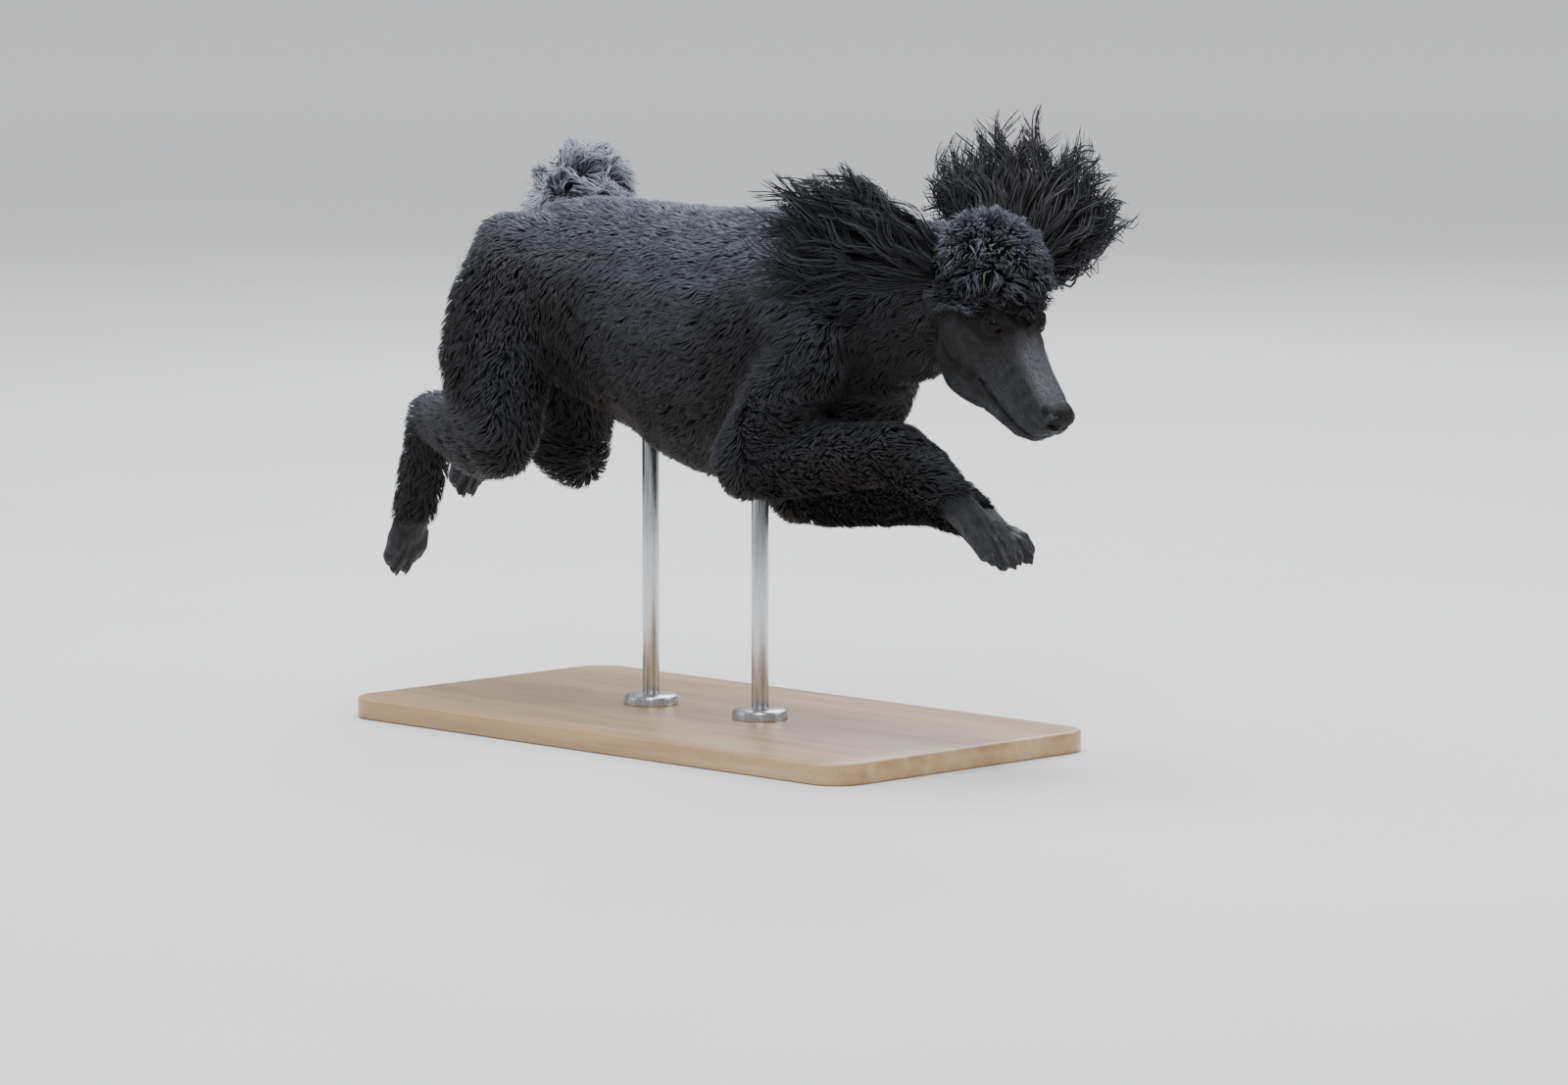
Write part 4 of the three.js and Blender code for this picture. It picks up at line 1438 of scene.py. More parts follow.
    def sculpt(self, surface: Surface) -> None:
        """Folds the skin of the head, and clears it from behind the nose leather.

        Args:
            surface: The skin, which is changed.
        """
        local = from_head(surface.points)
        normals = surface.normals() @ np.array(HEAD_FRAME.to_3x3())
        x, y, z = local.T
        above = self.over_mouth(x, z)
        length = smoothstep(0.010, 0.026, x) * (1.0 - smoothstep(0.100, 0.108, x))
        sideways = smoothstep(0.004, 0.010, np.abs(y))
        shift = np.zeros(len(local))
        for height, middle, width in self.folds:
            shift += height * bell(above - middle, width) * length * (sideways if middle > 0.0 else 1.0)
        for mound in (self.cheek, self.under_eye, self.brow, self.jowl):
            shift += mound.shift(x, y, z)
        shift -= self.furrow * bell(y, 0.006) * bell(x - 0.006, 0.020) * smoothstep(0.0, 0.012, z)
        local += normals * (shift * self.block.holds(local))[:, None]
        back, middle = self.nose_at
        away = np.hypot(y / self.nose_half[0], (z - middle) / self.nose_half[1])
        behind = (away < 1.0) & (x > back)
        local[:, 0] = np.where(behind, np.minimum(local[:, 0], self.nose_wall), local[:, 0])
        for side in Side:
            local = self.lids(local, side)
        surface.points = on_head(local)

    def tones(self, skin: bpy.types.Object, surface: Surface) -> Array:
        """Marks how bright the skin is: palest on the bridge, with painted top light, and darkest round the
        eyes, with painted shade, and at the lips.

        Args:
            skin: The skin, which gets the marks as an attribute.
            surface: The skin as arrays.

        Returns:
            How bright each place is.
        """
        local = from_head(surface.points)
        x, y, z = local.T
        # Painted top light on the bridge of the muzzle.
        bridge = smoothstep(0.010, 0.040, x) * smoothstep(0.020, 0.009, np.abs(y))
        bridge *= smoothstep(-0.006, 0.004, z)
        muzzle = smoothstep(-0.005, 0.040, x)
        head = smoothstep(-0.150, -0.125, z)
        on_head_tone = self.head_tone - self.foot_tone + self.muzzle_tone * muzzle
        bright = self.foot_tone + head * on_head_tone + self.bridge_tone * bridge
        bright -= self.lip_tone * bell(self.over_mouth(x, z), 0.004) * smoothstep(0.0, 0.02, x)
        # Painted shade round the eyes.
        for side in Side:
            away = np.linalg.norm(local - from_head(eye_centre(side)), axis=1)
            bright -= self.eye_tone * (1.0 - smoothstep(0.010, 0.020, away))
        bright = np.clip(bright, 0.0, 1.5)
        # The mark carries this painted light and shade into the skin's finish and the face's tufts.
        layer = skin.data.attributes.new("bright", "FLOAT", "POINT")
        layer.data.foreach_set("value", bright.astype(np.float32))
        return bright

    def eyes(self, material: bpy.types.Material) -> None:
        """Sets the two eyeballs.

        Args:
            material: The eyes' material.
        """
        for side in Side:
            centre, look, _, _ = self.eye_frame(side)
            deselect()
            bpy.ops.mesh.primitive_uv_sphere_add(segments=64, ring_count=40, radius=self.eye_radius - 0.0001)
            ball = bpy.context.active_object
            ball.name = f"eyeball_{side.word}"
            form = Surface(ball.data)
            ways = unit(form.points)
            facing = ways @ look
            bulge = self.bulge * smoothstep(0.80, 0.93, facing)
            form.points = on_head(form.points + ways * bulge[:, None] + centre)
            ball.data.vertices.foreach_set("co", form.points.ravel())
            angle = np.degrees(np.arccos(np.clip(facing, -1, 1))) / 180.0
            gaze = ball.data.attributes.new("gaze", "FLOAT", "POINT")
            gaze.data.foreach_set("value", (angle * 2.0).astype(np.float32))
            shade(ball)
            dress(ball, material, (f"eye_{side.word}",))


@dataclass
class Nose:
    """The nose leather with its nostrils and the groove between them. Head's frame.

    pinch is how much it narrows below and above, and lean how far it leans back there. Each
    nostril has a hole and a slit that leads outwards, inside a raised rim.
    """

    x: float = 0.0965
    z: float = -0.0055
    half_width: float = 0.0164
    half_height: float = 0.0136
    depth: float = 0.0130
    nostril: float = 0.0084
    boxy: float = 2.5
    hole: tuple[float, float] = (0.0034, 0.0030)
    hole_depth: float = 0.0062
    slit_depth: float = 0.0026
    slit_width: float = 0.0013
    rim_height: float = 0.0007
    groove_depth: float = 0.0013
    groove_width: float = 0.0009
    pinch: tuple[float, float] = (0.24, 0.10)
    lean: tuple[float, float] = (0.0022, 0.0016)
    wrap: float = 0.0020

    def build(self, material: bpy.types.Material) -> None:
        """Builds the nose.

        Args:
            material: The leather.
        """
        deselect()
        bpy.ops.mesh.primitive_uv_sphere_add(segments=128, ring_count=96, radius=1.0)
        nose = bpy.context.active_object
        nose.name = "nose_leather"
        form = Surface(nose.data)
        ways = form.points[:, [2, 0, 1]]
        reach = (np.abs(ways) ** self.boxy).sum(axis=1) ** (-1.0 / self.boxy)
        x, y, z = (ways * reach[:, None]).T
        narrow = 1.0 - self.pinch[0] * smoothstep(0.2, -1.0, z) - self.pinch[1] * smoothstep(0.4, 1.0, z)
        px = x * self.depth - self.lean[1] * smoothstep(0.2, 1.0, z)
        px -= self.lean[0] * smoothstep(-0.2, -1.0, z)
        px -= self.wrap * np.abs(y) ** 2.5
        py = y * self.half_width * narrow
        pz = z * self.half_height
        front = smoothstep(0.25, 0.7, x)
        for side in Side:
            outwards = py * side.value - self.nostril
            away = np.hypot(outwards / self.hole[0], (pz + 0.0008) / self.hole[1])
            hole = np.exp(-(away**3))
            slit = bell(pz + 0.0022 + 0.25 * outwards, self.slit_width)
            slit *= smoothstep(0.0, 0.003, outwards)
            rim = np.exp(-((away - 1.45) ** 2) / 0.10)
            px -= (self.hole_depth * hole + self.slit_depth * slit * (1 - hole)) * front
            px += self.rim_height * rim * front * (1 - slit)
        groove = bell(py, self.groove_width) * smoothstep(0.004, -0.002, pz)
        px -= self.groove_depth * groove * front
        local = np.stack([px + self.x, py, pz + self.z], axis=1)
        nose.data.vertices.foreach_set("co", on_head(local).ravel())
        edit(nose, bpy.ops.mesh.normals_make_consistent, inside=False)
        shade(nose)
        dress(nose, material, ("nose",))


@dataclass
class Claws:
    """Four claws on each foot, curved and blunt.

    places are across the foot, drop and oval are shares of a claw's length and radius, and root
    is how deep it starts in the toe.
    """

    tree: BVHTree
    long: float = 0.0075
    radius: float = 0.0023
    places: tuple[float, ...] = (-0.0165, -0.0060, 0.0060, 0.0165)
    drop: float = 0.42
    oval: float = 0.72
    root: float = 0.0030
    rings: int = 7
    sides: int = 12

    def claw(self, start: Array, along: Array, down: Array) -> tuple[Array, Array]:
        """Shapes one claw.

        Args:
            start: The middle of its root.
            along: The way that it points at its root.
            down: The way that it curves.

        Returns:
            Its places and triangles.
        """
        across = np.cross(along, down)
        points = []
        for i in range(self.rings):
            t = i / self.rings
            middle = start + along * self.long * t + down * self.long * self.drop * t * t
            size = self.radius * math.sqrt(1.0 - 0.93 * t**2.4)
            for k in range(self.sides):
                turn = 2.0 * math.pi * k / self.sides
                sideways = across * math.cos(turn) * size * self.oval
                points.append(middle + sideways + down * math.sin(turn) * size)
        points.append(start + along * self.long + down * self.long * self.drop)
        points.append(start)
        tip, root = len(points) - 2, len(points) - 1
        triangles = []
        for i in range(self.rings - 1):
            for k in range(self.sides):
                a = i * self.sides + k
                b = i * self.sides + (k + 1) % self.sides
                triangles += [(a, b, b + self.sides), (a, b + self.sides, a + self.sides)]
        last = (self.rings - 1) * self.sides
        for k in range(self.sides):
            nxt = (k + 1) % self.sides
            triangles += [(last + k, last + nxt, tip), (nxt, k, root)]
        return np.array(points), np.array(triangles)

    def build(self, material: bpy.types.Material) -> None:
        """Builds all the claws as one piece.

        Args:
            material: The horn.
        """
        all_points, all_triangles, count = [], [], 0
        for leg in LEGS:
            knuckle, long, along, across = foot_frame(leg)
            up = np.cross(along, across)
            ahead = Vector(unit(along + 0.12 * up))
            for place in self.places:
                inside = Vector(knuckle + along * 0.5 * long + across * place * 0.8)
                tip = self.tree.ray_cast(inside, (ahead + Vector(across * place * 8.0)).normalized(), 0.08)[0]
                if tip is None:
                    continue
                start = np.array(tip - ahead * self.root)
                points, triangles = self.claw(start, np.array(ahead), unit(-up + 0.15 * along))
                all_points.append(points)
                all_triangles.append(triangles + count)
                count += len(points)
        claws = mesh_from("claws", np.concatenate(all_points), np.concatenate(all_triangles))
        edit(claws, bpy.ops.mesh.normals_make_consistent, inside=False)
        dress(claws, material)


@dataclass
class Tufts:
    """Builds many tapered tufts at once, each a closed three-sided sliver.

    name begins each piece's name, the first piece stands for the nodes in replaced, and patch is
    half the side of the spot that a tuft takes on the unwrapped skin.
    """

    name: str
    material: bpy.types.Material
    slot: str
    replaced: tuple[str, ...] = ()
    patch: float = 0.0015

    @staticmethod
    def solid(lines: Array, faces: Array, widths: Array, flat: float) -> tuple[Array, Array]:
        """Gives centre lines their thickness.

        Args:
            lines: Places along each tuft, the last being its tip.
            faces: The way that each place's flat side faces.
            widths: Half the width at each place.
            flat: Thickness as a share of the width.

        Returns:
            Places and triangles, one row for each tuft.
        """
        rings = lines.shape[1] - 1
        along = unit(np.gradient(lines, axis=1))
        sides = unit(np.cross(along, faces))
        tops = np.cross(sides, along)
        wide = widths[:, :, None] * sides
        high = widths[:, :, None] * tops * flat
        ring = np.stack([lines - wide, lines + high, lines + wide], axis=2)[:, :rings]
        points = np.concatenate([ring.reshape(len(lines), rings * 3, 3), lines[:, -1:]], axis=1)
        shape = []
        for i in range(rings - 1):
            for k in range(3):
                a, b = i * 3 + k, i * 3 + (k + 1) % 3
                shape += [(a, b, b + 3), (a, b + 3, a + 3)]
        last = (rings - 1) * 3
        shape += [(last + k, last + (k + 1) % 3, rings * 3) for k in range(3)]
        shape.append((0, 2, 1))
        triangles = np.array(shape)[None] + (np.arange(len(lines)) * points.shape[1])[:, None, None]
        return points, triangles

    def make(
        self,
        lines: Array,
        faces: Array,
        widths: Array,
        roots: Array,
        shades: Array,
        painted_top_lights: Array,
        flat: float = 0.55,
    ) -> None:
        """Makes the pieces, cut into lots so that none has too many triangles.

        Args:
            lines: Places along each tuft.
            faces: The way that each place's flat side faces.
            widths: Half the width at each place.
            roots: Each tuft's place on the unwrapped skin.
            shades: How light each tuft is, from 0 to 1.
            painted_top_lights: How much painted top light each tuft gets, as a bluish grey, from 0 to 1.
            flat: Thickness as a share of the width.
        """
        rings = lines.shape[1] - 1
        per_tuft = 6 * (rings - 1) + 4
        lots = max(1, math.ceil(len(lines) * per_tuft / MOST_TRIANGLES))
        order = np.argsort(lines[:, 0, 0], kind="stable")
        for number, lot in enumerate(np.array_split(order, lots)):
            points, triangles = self.solid(lines[lot], faces[lot], widths[lot], flat)
            name = self.name if lots == 1 else f"{self.name}_{number + 1}"
            obj = mesh_from(name, points.reshape(-1, 3), triangles.reshape(-1, 3))
            along = np.concatenate([np.repeat(np.arange(rings) / rings, 3), [1.0]])
            across = np.concatenate([np.tile([0.0, 0.5, 1.0], rings), [0.5]])
            strand = np.empty((len(lot), len(along), 3), dtype=np.float32)
            strand[..., 0], strand[..., 1], strand[..., 2] = across, along, shades[lot][:, None]
            layer = obj.data.attributes.new("strand", "FLOAT_VECTOR", "POINT")
            layer.data.foreach_set("vector", strand.ravel())
            # Each tuft's share of painted top light.
            layer = obj.data.attributes.new("fade", "FLOAT", "POINT")
            layer.data.foreach_set("value", np.repeat(painted_top_lights[lot], len(along)).astype(np.float32))
            aside = np.tile([-1.0, 0.0, 1.0], rings + 1)[: len(along)]
            patch = self.patch * np.stack([aside, 2 * along - 1], axis=1)
            spots = (roots[lot][:, None] + patch[None]).reshape(-1, 2)
            layer = obj.data.uv_layers.new(name="OFBake")
            layer.data.foreach_set("uv", spots[triangles.ravel()].astype(np.float32).ravel())
            dress(obj, self.material, self.replaced if number == 0 else ())


@dataclass
class Coat:
    """The coat that grows on the skin, area by area.

    stray and drift say how far tufts turn from the lie, each alone and in streams. The numbers
    whose names end in over are wavelengths, turns are those of a tuft's wave and curl along it,
    and least_rise and crest_rise share out its rise. Each chart is a corner, a width and a
    height on the unwrapped skin.
    """

    surface: Surface
    facts: dict[str, Array]
    tree: BVHTree
    seed: int = 5
    least_lie: float = 0.30
    stray: float = 0.18
    drift: float = 0.28
    drift_over: float = 0.030
    crest_over: float = 0.013
    phase_over: float = 0.05
    least_rise: float = 0.86
    crest_rise: float = 0.18
    buried: float = 0.0008
    wave_turns: float = 1.15
    curl_turns: float = 1.1
    # Painted top light: its share on the face and feet, and the least upward facing that gets any.
    face_fade: float = 0.26
    faded_from: float = -0.35
    charts: tuple[tuple[Area, tuple[float, float, float, float]], ...] = (
        (Area.BODY, (0.01, 0.01, 0.48, 0.48)),
        (Area.NECK, (0.51, 0.01, 0.24, 0.30)),
        (Area.LEG, (0.01, 0.51, 0.48, 0.30)),
        (Area.CUFF, (0.51, 0.33, 0.24, 0.30)),
        (Area.FACE, (0.51, 0.65, 0.24, 0.16)),
        (Area.FOOT, (0.01, 0.83, 0.48, 0.15)),
        (Area.TOPKNOT, (0.77, 0.01, 0.21, 0.21)),
        (Area.POM, (0.77, 0.24, 0.21, 0.21)),
    )

    def roots(self, area: Area, rng: np.random.Generator) -> tuple[Array, Array]:
        """Strews roots evenly over one area of the skin.

        Args:
            area: The area.
            rng: Where the random draws come from.

        Returns:
            The triangle that each root lies in, and its place.
        """
        surface = self.surface
        corner_area = self.facts["area"][surface.triangles]
        mine = (corner_area == list(Area).index(area)).sum(axis=1) >= 2
        a, b, c = (surface.points[surface.triangles[:, i]] for i in range(3))
        size = 0.5 * np.linalg.norm(np.cross(b - a, c - a), axis=1)
        wanted = size * mine / CUTS[area].spacing ** 2
        edges = np.concatenate([[0.0], np.cumsum(wanted)])
        count = int(edges[-1])
        steps = np.arange(count) + rng.uniform(0.0, 1.0, count)
        chosen = np.clip(np.searchsorted(edges, steps) - 1, 0, len(size) - 1)
        u, v = rng.uniform(size=(2, count))
        flip = u + v > 1.0
        u[flip], v[flip] = 1.0 - u[flip], 1.0 - v[flip]
        places = a[chosen] + (b - a)[chosen] * u[:, None] + (c - a)[chosen] * v[:, None]
        return chosen, places

    def trail(
        self, chosen: Array, places: Array, steps: int, jitter: Array
    ) -> tuple[Array, Array, Array, Array]:
        """Follows the lie of the coat over the skin from each root.

        Args:
            chosen: The triangle that each root lies in.
            places: Each root's place.
            steps: How many steps a tuft has.
            jitter: How far each tuft turns from the lie, as an angle.

        Returns:
            Places, normals and lie at each step, and the cut's numbers at the root.
        """
        corners = self.surface.triangles
        normals = self.surface.normals()[corners].mean(axis=1)
        lie = self.facts["lie"][corners].mean(axis=1)
        numbers = self.facts["numbers"][corners].mean(axis=1)[chosen]
        length, rise = numbers[:, 1:2], numbers[:, 3:4]
        travel = np.sqrt(np.maximum(length**2 - rise**2, (self.least_lie * length) ** 2))
        spots, ups, ways = [places], [unit(normals[chosen])], [unit(lie[chosen])]
        turn_c, turn_s = np.cos(jitter)[:, None], np.sin(jitter)[:, None]
        for _ in range(steps):
            way = ways[-1] * turn_c + np.cross(ups[-1], ways[-1]) * turn_s
            ahead = spots[-1] + way * travel / steps
            hits = [self.tree.find_nearest(Vector(place)) for place in ahead]
            spots.append(np.array([tuple(hit[0]) for hit in hits]))
            face = np.array([hit[2] for hit in hits])
            up = unit(normals[face])
            way = lie[face]
            ups.append(up)
            ways.append(unit(way - up * (way * up).sum(axis=1, keepdims=True)))
        return np.stack(spots, 1), np.stack(ups, 1), np.stack(ways, 1), numbers

    def unwrap(self, places: Array, area: Area) -> Array:
        """Finds roots' places on the unwrapped skin.

        Each area is unrolled round its own length, into its own part of the map.

        Args:
            places: The roots.
            area: Their area.

        Returns:
            Two coordinates for each root.
        """
        u0, v0, width, height = dict(self.charts)[area]
        low, high = places.min(axis=0), places.max(axis=0)
        middle = 0.5 * (low + high)
        sides = places[:, 1] > middle[1]
        centre = np.where(sides, 0.5 * (middle[1] + high[1]), 0.5 * (middle[1] + low[1]))
        whole = area not in (Area.LEG, Area.CUFF, Area.FOOT)
        centre_y = np.full(len(places), middle[1]) if whole else centre
        angle = np.arctan2(places[:, 1] - centre_y, places[:, 2] - middle[2]) / (2.0 * math.pi) + 0.5
        if not whole:
            angle = 0.5 * angle + 0.5 * sides
        long = (places[:, 0] - low[0]) / (high[0] - low[0])
        return np.stack([u0 + width * angle, v0 + height * long], axis=1)

    def grow(self, area: Area, tufts: Tufts) -> None:
        """Grows the coat of one area.

        Args:
            area: The area.
            tufts: Where the tufts go.
        """
        cut = CUTS[area]
        rng = np.random.default_rng(self.seed + list(Area).index(area))
        chosen, places = self.roots(area, rng)
        count = len(places)
        jitter = rng.normal(0.0, self.stray, count) + self.drift * ripple(places, self.drift_over, 11)
        spots, ups, ways, numbers = self.trail(chosen, places, cut.rings, jitter)
        rise, wave, clump, curl, fade = numbers.T[3:]
        sides = np.cross(ups, ways)
        t = np.linspace(0.0, 1.0, cut.rings + 1)[None, :]
        crest = 0.5 + 0.5 * ripple(spots, self.crest_over, 23)
        lift = rise[:, None] * (self.least_rise + self.crest_rise * crest) * (1.0 - (1.0 - t) ** 1.8)
        lift *= rng.uniform(0.80, 1.05, (count, 1))
        phase = 2.5 * ripple(places, self.phase_over, 31)[:, None] + rng.normal(0.0, 0.5, (count, 1))
        sway = wave[:, None] * np.sin(2.0 * math.pi * self.wave_turns * t + phase) * np.sqrt(t)
        lines = spots + ups * (lift - self.buried * (1 - t))[..., None] + sides * sway[..., None]
        if curl.max() > 0:
            turn = 2.0 * math.pi * (self.curl_turns * t + rng.uniform(0.0, 1.0, (count, 1)))
            size = (curl[:, None] * np.sqrt(t))[..., None]
            lines += size * (sides * np.cos(turn)[..., None] + ways * np.sin(turn)[..., None])
        if cut.clump > 0:
            lines = self.gather(lines, places, (cut.spacing / cut.lock) ** 2, clump, t, rng)
        taper = np.array([0.75, *np.linspace(1.0, 0.45, cut.rings - 1), 0.0])
        widths = numbers[:, 2:3] * taper[None] * rng.uniform(0.75, 1.25, (count, 1))
        shades = rng.uniform(0.0, 1.0, count)
        # Painted top light: a bluish grey that grows as the root faces up; on the face and feet it follows
        # the skin's bright mark instead, with the bridge's painted light and the painted shade round the
        # eyes.
        painted_top_lights = fade * smoothstep(self.faded_from, 1.0, ups[:, 0, 2]) * rng.uniform(0.7, 1.3, count)
        if area in (Area.FACE, Area.FOOT):
            bright = self.facts["bright"][self.surface.triangles[chosen]].mean(axis=1)
            painted_top_lights = self.face_fade * bright * rng.uniform(0.4, 1.6, count)
        tufts.make(lines, ups, widths, self.unwrap(places, area), shades, painted_top_lights)

    def gather(
        self, lines: Array, places: Array, share: float, clump: Array, t: Array, rng: np.random.Generator
    ) -> Array:
        """Draws neighbouring tufts together into small locks.

        Args:
            lines: Places along each tuft.
            places: The roots.
            share: How many of the tufts lead a lock.
            clump: How strongly each tuft is drawn in.
            t: How far along each place is.
            rng: Where the random draws come from.

        Returns:
            The new lines.
        """
        leaders = rng.permutation(len(places))[: max(2, int(len(places) * share))]
        finder = KDTree(len(leaders))
        for number, leader in enumerate(leaders):
            finder.insert(Vector(places[leader]), number)
        finder.balance()
        nearest = leaders[[finder.find(Vector(place))[1] for place in places]]
        pull = (clump[:, None] * t**1.2)[..., None]
        return lines + pull * (lines[nearest] - lines)


@dataclass
class Ear:
    """One ear flung up in the leap, as the long waved locks of its fringe, which hide its leather.

    root is where they start, and fan says where they end, measured from the root. thick is half
    the fan's depth, lock a lock's radius, swing and curl how far it waves and its hairs curl, and
    turns and loops how often. twist winds the hairs of a lock, trim cuts them unevenly and fray
    turns their flat sides.
    """

    side: Side
    root: tuple[float, float, float]
    fan: tuple[tuple[float, float, float], ...]
    bundles: int
    strands: int = 13
    rings: int = 13
    thick: float = 0.030
    lift: float = 0.004
    swing: float = 0.0085
    lock: float = 0.0054
    curl: float = 0.0034
    half_width: float = 0.00100
    twist: float = 2.2
    turns: tuple[float, float] = (1.0, 2.2)
    loops: tuple[float, float] = (0.5, 1.1)
    trim: tuple[float, float] = (0.80, 1.03)
    fray: float = 0.6
    seed: int = 3

    def reach(self, share: Array) -> Array:
        """Finds where the fringe ends, from the root.

        Args:
            share: How far round the fan, from 0 to 1.

        Returns:
            One vector for each share.
        """
        ends = np.array(self.fan)
        place = np.clip(share, 0.0, 1.0) * (len(ends) - 1)
        i = np.minimum(place.astype(int), len(ends) - 2)
        t = (place - i)[:, None]
        last = len(ends) - 1
        a, b, c, d = (ends[np.clip(i + k, 0, last)] for k in (-1, 0, 1, 2))
        cubic = (3 * b - a - 3 * c + d) * t**3 + (2 * a - 5 * b + 4 * c - d) * t**2 + (c - a) * t + 2 * b
        return 0.5 * cubic

    def facing(self, share: Array) -> Array:
        """Returns the way that the fan's face looks at each share."""
        before, after = self.reach(share - 0.1), self.reach(share + 0.1)
        return unit(np.cross(before, after))

    def build(self, material: bpy.types.Material) -> None:
        """Builds the fringe.

        Args:
            material: The hair's material.
        """
        rng = np.random.default_rng(self.seed)
        count = self.bundles
        share = (np.arange(count) + rng.uniform(0.0, 1.0, count)) / count
        level = rng.uniform(-1.0, 1.0, count)
        full = rng.uniform(0.86, 1.10, count) * (1.0 - 0.20 * np.abs(level) ** 2)
        start = rng.uniform(0.0, 0.40, count) * np.where(rng.uniform(size=count) < 0.5, 0.15, 1.0)
        t = 1.0 - (1.0 - np.linspace(0.0, 1.0, self.rings + 1)) ** 1.35
        reach = self.reach(share)
        face = self.facing(share)
        across = unit(np.cross(face, reach))
        far = start[:, None] + (full - start)[:, None] * t[None]
        swell = np.sin(np.pi * np.clip(far, 0.0, 1.0) ** 0.7) * 0.75 + 0.25 * far
        line = np.array(self.root) + reach[:, None] * far[..., None]
        line += face[:, None] * (self.thick * level[:, None] * swell)[..., None]
        line[..., 2] += self.lift * (t[None] ** 2)
        turns = rng.uniform(*self.turns, (count, 1))
        phase = rng.uniform(0.0, 2.0 * math.pi, (count, 1))
        swing = self.swing * np.sin(2 * math.pi * turns * t[None] ** 1.3 + phase) * t[None]
        line += across[:, None] * swing[..., None]
        line += face[:, None] * (0.7 * np.roll(swing, 1, axis=0))[..., None]
        spread = self.lock * (0.30 + 0.70 * np.sin(np.pi * np.clip(t * 0.90 + 0.05, 0.0, 1.0)))
        total = count * self.strands
        owner = np.repeat(np.arange(count), self.strands)
        angle = rng.uniform(0.0, 2.0 * math.pi, total)
        radius = np.sqrt(rng.uniform(0.0, 1.0, total))
        twist = angle[:, None] + self.twist * t[None] * rng.choice((-1.0, 1.0), count)[owner][:, None]
        off_a = radius[:, None] * np.cos(twist) * spread[None]
        off_b = radius[:, None] * np.sin(twist) * spread[None]
        lines = line[owner] + across[owner][:, None] * off_a[..., None]
        lines += face[owner][:, None] * off_b[..., None]
        curl = rng.uniform(0.3, 1.0, (total, 1)) * self.curl * t[None] ** 2.2
        loops = rng.uniform(*self.loops, (total, 1)) * t[None] ** 1.4
        spin = 2.0 * math.pi * (loops + rng.uniform(0, 1, (total, 1)))
        lines += across[owner][:, None] * (curl * np.cos(spin))[..., None]
        lines += face[owner][:, None] * (curl * np.sin(spin))[..., None]
        trim = rng.uniform(*self.trim, (total, 1, 1))
        lines = lines[:, :1] + (lines - lines[:, :1]) * trim
        facing = (face[owner] + self.fray * rng.normal(size=(total, 3)))[:, None]
        facing = np.repeat(facing, self.rings + 1, axis=1)
        taper = np.array([0.5, *np.linspace(1.0, 0.40, self.rings - 1), 0.0])
        widths = self.half_width * taper[None] * rng.uniform(0.7, 1.3, (total, 1))
        chart = 0.77 if self.side is Side.LEFT else 0.88
        spots = np.stack([chart + 0.10 * start[owner] / 0.36, 0.48 + 0.40 * share[owner]], axis=1)
        shades = np.repeat(rng.uniform(0.1, 0.9, count), self.strands)
        shades = np.clip(shades + rng.normal(0, 0.12, total), 0, 1)
        tufts = Tufts(f"ear_fringe_{self.side.word}", material, "coat", (f"ear_{self.side.word}",))
        tufts.make(lines, facing, widths, spots, shades, np.zeros(total), flat=0.8)


EARS = (
    Ear(
        Side.RIGHT,
        (0.354, -0.050, 0.448),
        (
            (-0.198, -0.055, -0.030),
            (-0.196, -0.058, 0.026),
            (-0.171, -0.055, 0.077),
            (-0.103, -0.040, 0.091),
            (-0.071, -0.025, 0.061),
        ),
        bundles=130,
        seed=3,
    ),
    Ear(
        Side.LEFT,
        (0.371, 0.010, 0.448),
        (
            (-0.141, 0.035, 0.053),
            (-0.130, 0.040, 0.109),
            (-0.084, 0.060, 0.129),
            (-0.034, 0.090, 0.128),
            (-0.009, 0.125, 0.101),
            (0.004, 0.145, 0.061),
            (0.003, 0.140, 0.026),
            (-0.009, 0.090, -0.002),
        ),
        bundles=156,
        seed=4,
    ),
)


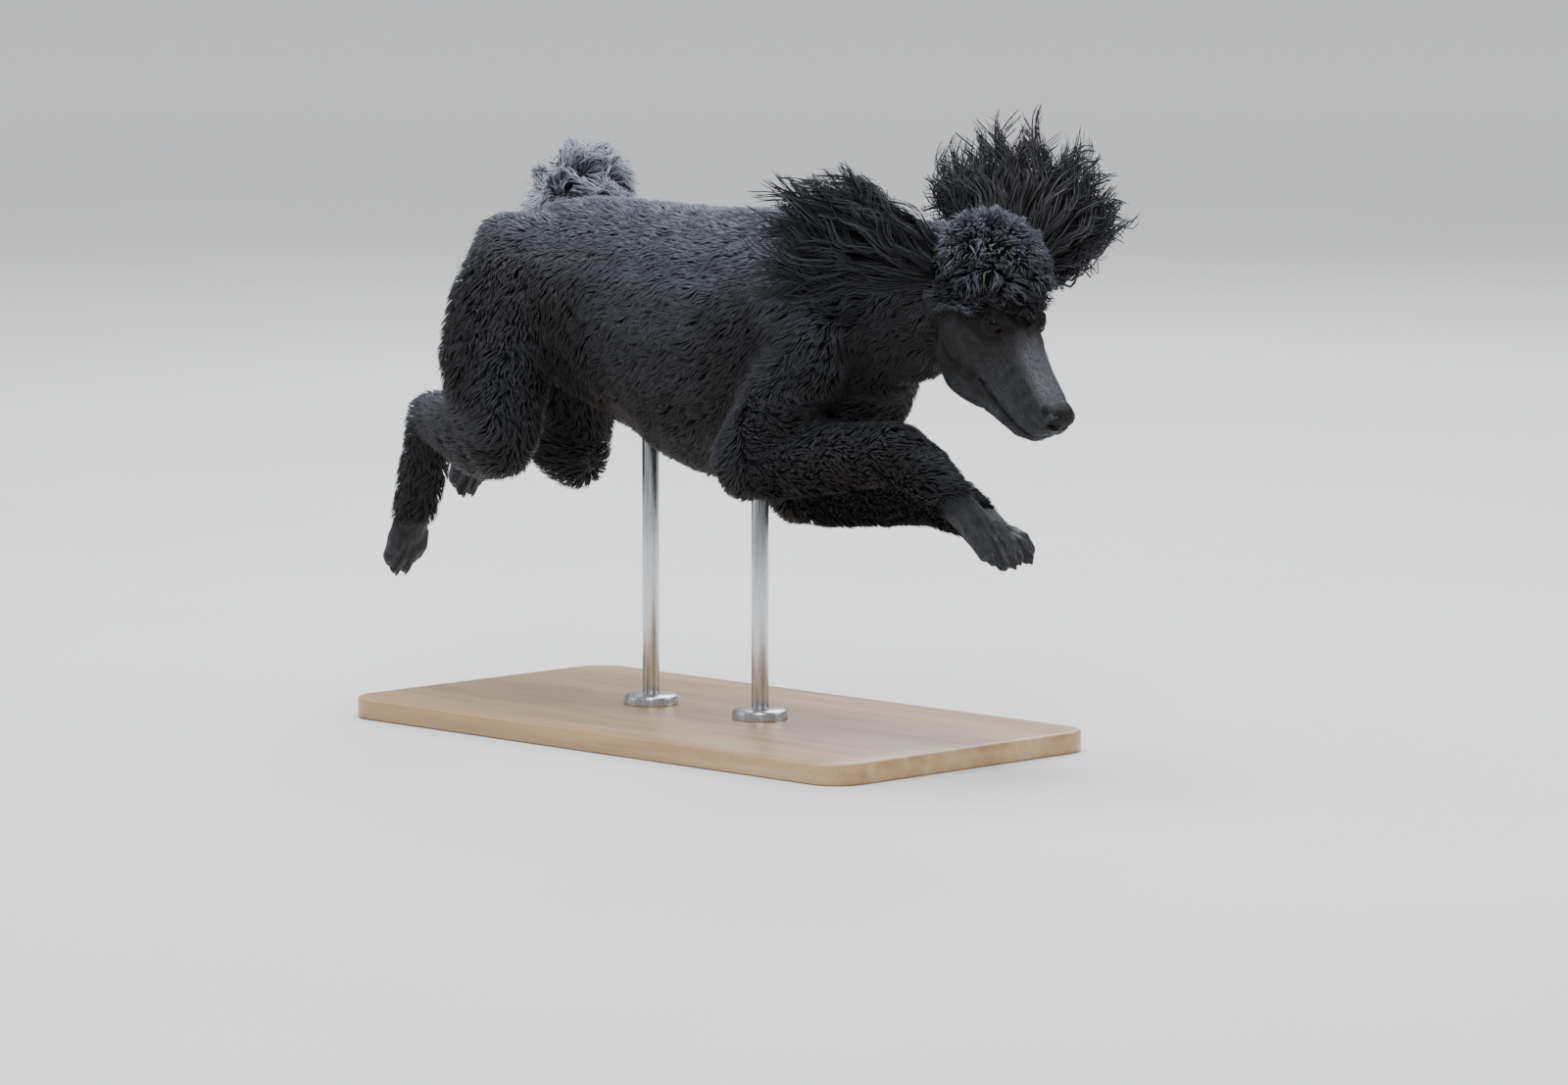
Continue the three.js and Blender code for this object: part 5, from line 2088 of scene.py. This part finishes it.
@dataclass
class Stand:
    """A flat base of beech, two steel rods and a collar round the foot of each.

    Each point of rim is how far in and how far down it lies from the collar's upper corner.
    """

    length: float = 0.660
    width: float = 0.340
    thick: float = 0.020
    corner: float = 0.034
    edge: float = 0.003
    rod_radius: float = 0.008
    rods: tuple[tuple[str, float], ...] = (("front", 0.062), ("rear", -0.084))
    collar_radius: float = 0.026
    collar_height: float = 0.009
    gap: float = 0.0003
    rim: tuple[tuple[float, float], ...] = ((0.0, 0.0030), (0.0008, 0.0012), (0.0028, 0.0))
    inner_rim: float = 0.0006

    def base(self, material: bpy.types.Material) -> None:
        """Builds the base.

        Args:
            material: The wood.
        """
        deselect()
        bpy.ops.mesh.primitive_cube_add(size=1.0, location=(0.0, 0.0, self.thick / 2.0))
        base = bpy.context.active_object
        base.name = "beech_base"
        base.scale = (self.length, self.width, self.thick)
        settle(base)
        mesh = bmesh.new()
        mesh.from_mesh(base.data)
        upright = [edge for edge in mesh.edges if abs((edge.verts[0].co - edge.verts[1].co).z) > 0.001]
        bmesh.ops.bevel(mesh, geom=upright, offset=self.corner, segments=12, profile=0.5, affect="EDGES")
        mesh.to_mesh(base.data)
        mesh.free()
        apply_modifier(base, "BEVEL", width=self.edge, segments=3, limit_method="ANGLE", angle_limit=1.0)
        shade(base, 30.0)
        dress(base, material, ("stand_base",))

    def rod(self, name: str, x: float, material: bpy.types.Material) -> None:
        """Builds one rod, which ends in the coat of the belly.

        Args:
            name: Which rod.
            x: Its place along the dog.
            material: The steel.
        """
        low, high = (float(corner[2]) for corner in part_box(f"stand_rod_{name}"))
        deselect()
        bpy.ops.mesh.primitive_cylinder_add(
            vertices=48, radius=self.rod_radius, depth=high - low, location=(x, 0.0, (high + low) / 2)
        )
        rod = bpy.context.active_object
        rod.name = f"steel_rod_{name}"
        settle(rod)
        apply_modifier(rod, "BEVEL", width=0.0008, segments=2, limit_method="ANGLE", angle_limit=1.0)
        shade(rod, 35.0)
        dress(rod, material, (f"stand_rod_{name}",))

    def collar(self, name: str, x: float, material: bpy.types.Material) -> None:
        """Turns one collar on its axis.

        Args:
            name: Which collar.
            x: Its place along the dog.
            material: The steel.
        """
        low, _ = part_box(f"stand_collar_{name}")
        floor = float(low[2])
        inner = self.rod_radius + self.gap
        profile = [
            (inner, 0.0),
            (self.collar_radius, 0.0),
            *((self.collar_radius - away, self.collar_height - down) for away, down in self.rim),
            (inner + self.inner_rim, self.collar_height),
            (inner, self.collar_height - self.inner_rim),
        ]
        mesh = bpy.data.meshes.new(f"steel_collar_{name}")
        collar = bpy.data.objects.new(f"steel_collar_{name}", mesh)
        bpy.context.collection.objects.link(collar)
        form = bmesh.new()
        ring = [form.verts.new((x + radius, 0.0, floor + height)) for radius, height in profile]
        edges = [form.edges.new((ring[i], ring[(i + 1) % len(ring)])) for i in range(len(ring))]
        centre, upright = (x, 0.0, 0.0), (0.0, 0.0, 1.0)
        geometry = [*ring, *edges]
        bmesh.ops.spin(form, geom=geometry, cent=centre, axis=upright, angle=2.0 * math.pi, steps=64)
        bmesh.ops.remove_doubles(form, verts=form.verts, dist=1e-6)
        bmesh.ops.recalc_face_normals(form, faces=form.faces)
        form.to_mesh(mesh)
        form.free()
        shade(collar, 35.0)
        dress(collar, material, (f"stand_collar_{name}",))

    def build(self, wood: bpy.types.Material, steel: bpy.types.Material) -> None:
        """Builds the whole stand.

        Args:
            wood: The base's material.
            steel: The rods' material.
        """
        self.base(wood)
        for name, x in self.rods:
            self.rod(name, x, steel)
            self.collar(name, x, steel)


def main() -> None:
    """Builds the studio, the skin, the face, the coat and the stand."""
    logging.basicConfig(level=logging.INFO, format="%(message)s")
    studio = Studio()
    studio.camera()
    studio.light()
    studio.floor(FloorFinish().make())
    tone_group()
    grain_group()
    black = CoatFinish("black_coat", (0.003, 0.003, 0.0032), (0.029, 0.028, 0.030), (0.036, 0.024, 0.019))
    # The pom's coat: its own pale bluish grey, made as bright as its lit top, so partly painted top light.
    grey = CoatFinish("faded_coat", (0.260, 0.272, 0.315), (0.620, 0.655, 0.770), (0.460, 0.470, 0.520))
    tipped = CoatFinish("ear_coat", (0.003, 0.003, 0.0034), (0.036, 0.037, 0.046), (0.040, 0.030, 0.028))
    coat_black, coat_grey, coat_ear = black.make(), grey.make(), tipped.make()
    flesh = Flesh()
    skin, surface, facts = flesh.build()
    face = Face()
    face.sculpt(surface)
    Toes().sculpt(surface)
    skin.data.vertices.foreach_set("co", surface.points.ravel())
    skin.data.update()
    facts["bright"] = face.tones(skin, surface)
    shade(skin)
    others = ("eye", "nose", "tail_pom", "topknot")
    replaced = tuple(name for name in flesh.names if not name.startswith(others))
    dress(skin, SkinFinish().make(), replaced)
    face.eyes(EyeFinish().make())
    Nose().build(LeatherFinish().make())
    coat = Coat(surface, facts, surface.tree())
    Claws(coat.tree).build(HornFinish().make())
    for area in Area:
        hair = coat_grey if area is Area.POM else coat_black
        slot = {Area.POM: "pom_coat", Area.FACE: "face_hair", Area.FOOT: "face_hair"}.get(area, "coat")
        stands_for = {Area.POM: ("tail_pom",), Area.TOPKNOT: ("topknot",)}.get(area, ())
        coat.grow(area, Tufts(f"coat_{area.value}", hair, slot, stands_for))
    for ear in EARS:
        ear.build(coat_ear)
    Stand().build(BeechFinish().make(), SteelFinish().make())
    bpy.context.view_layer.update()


if __name__ == "__main__":
    main()
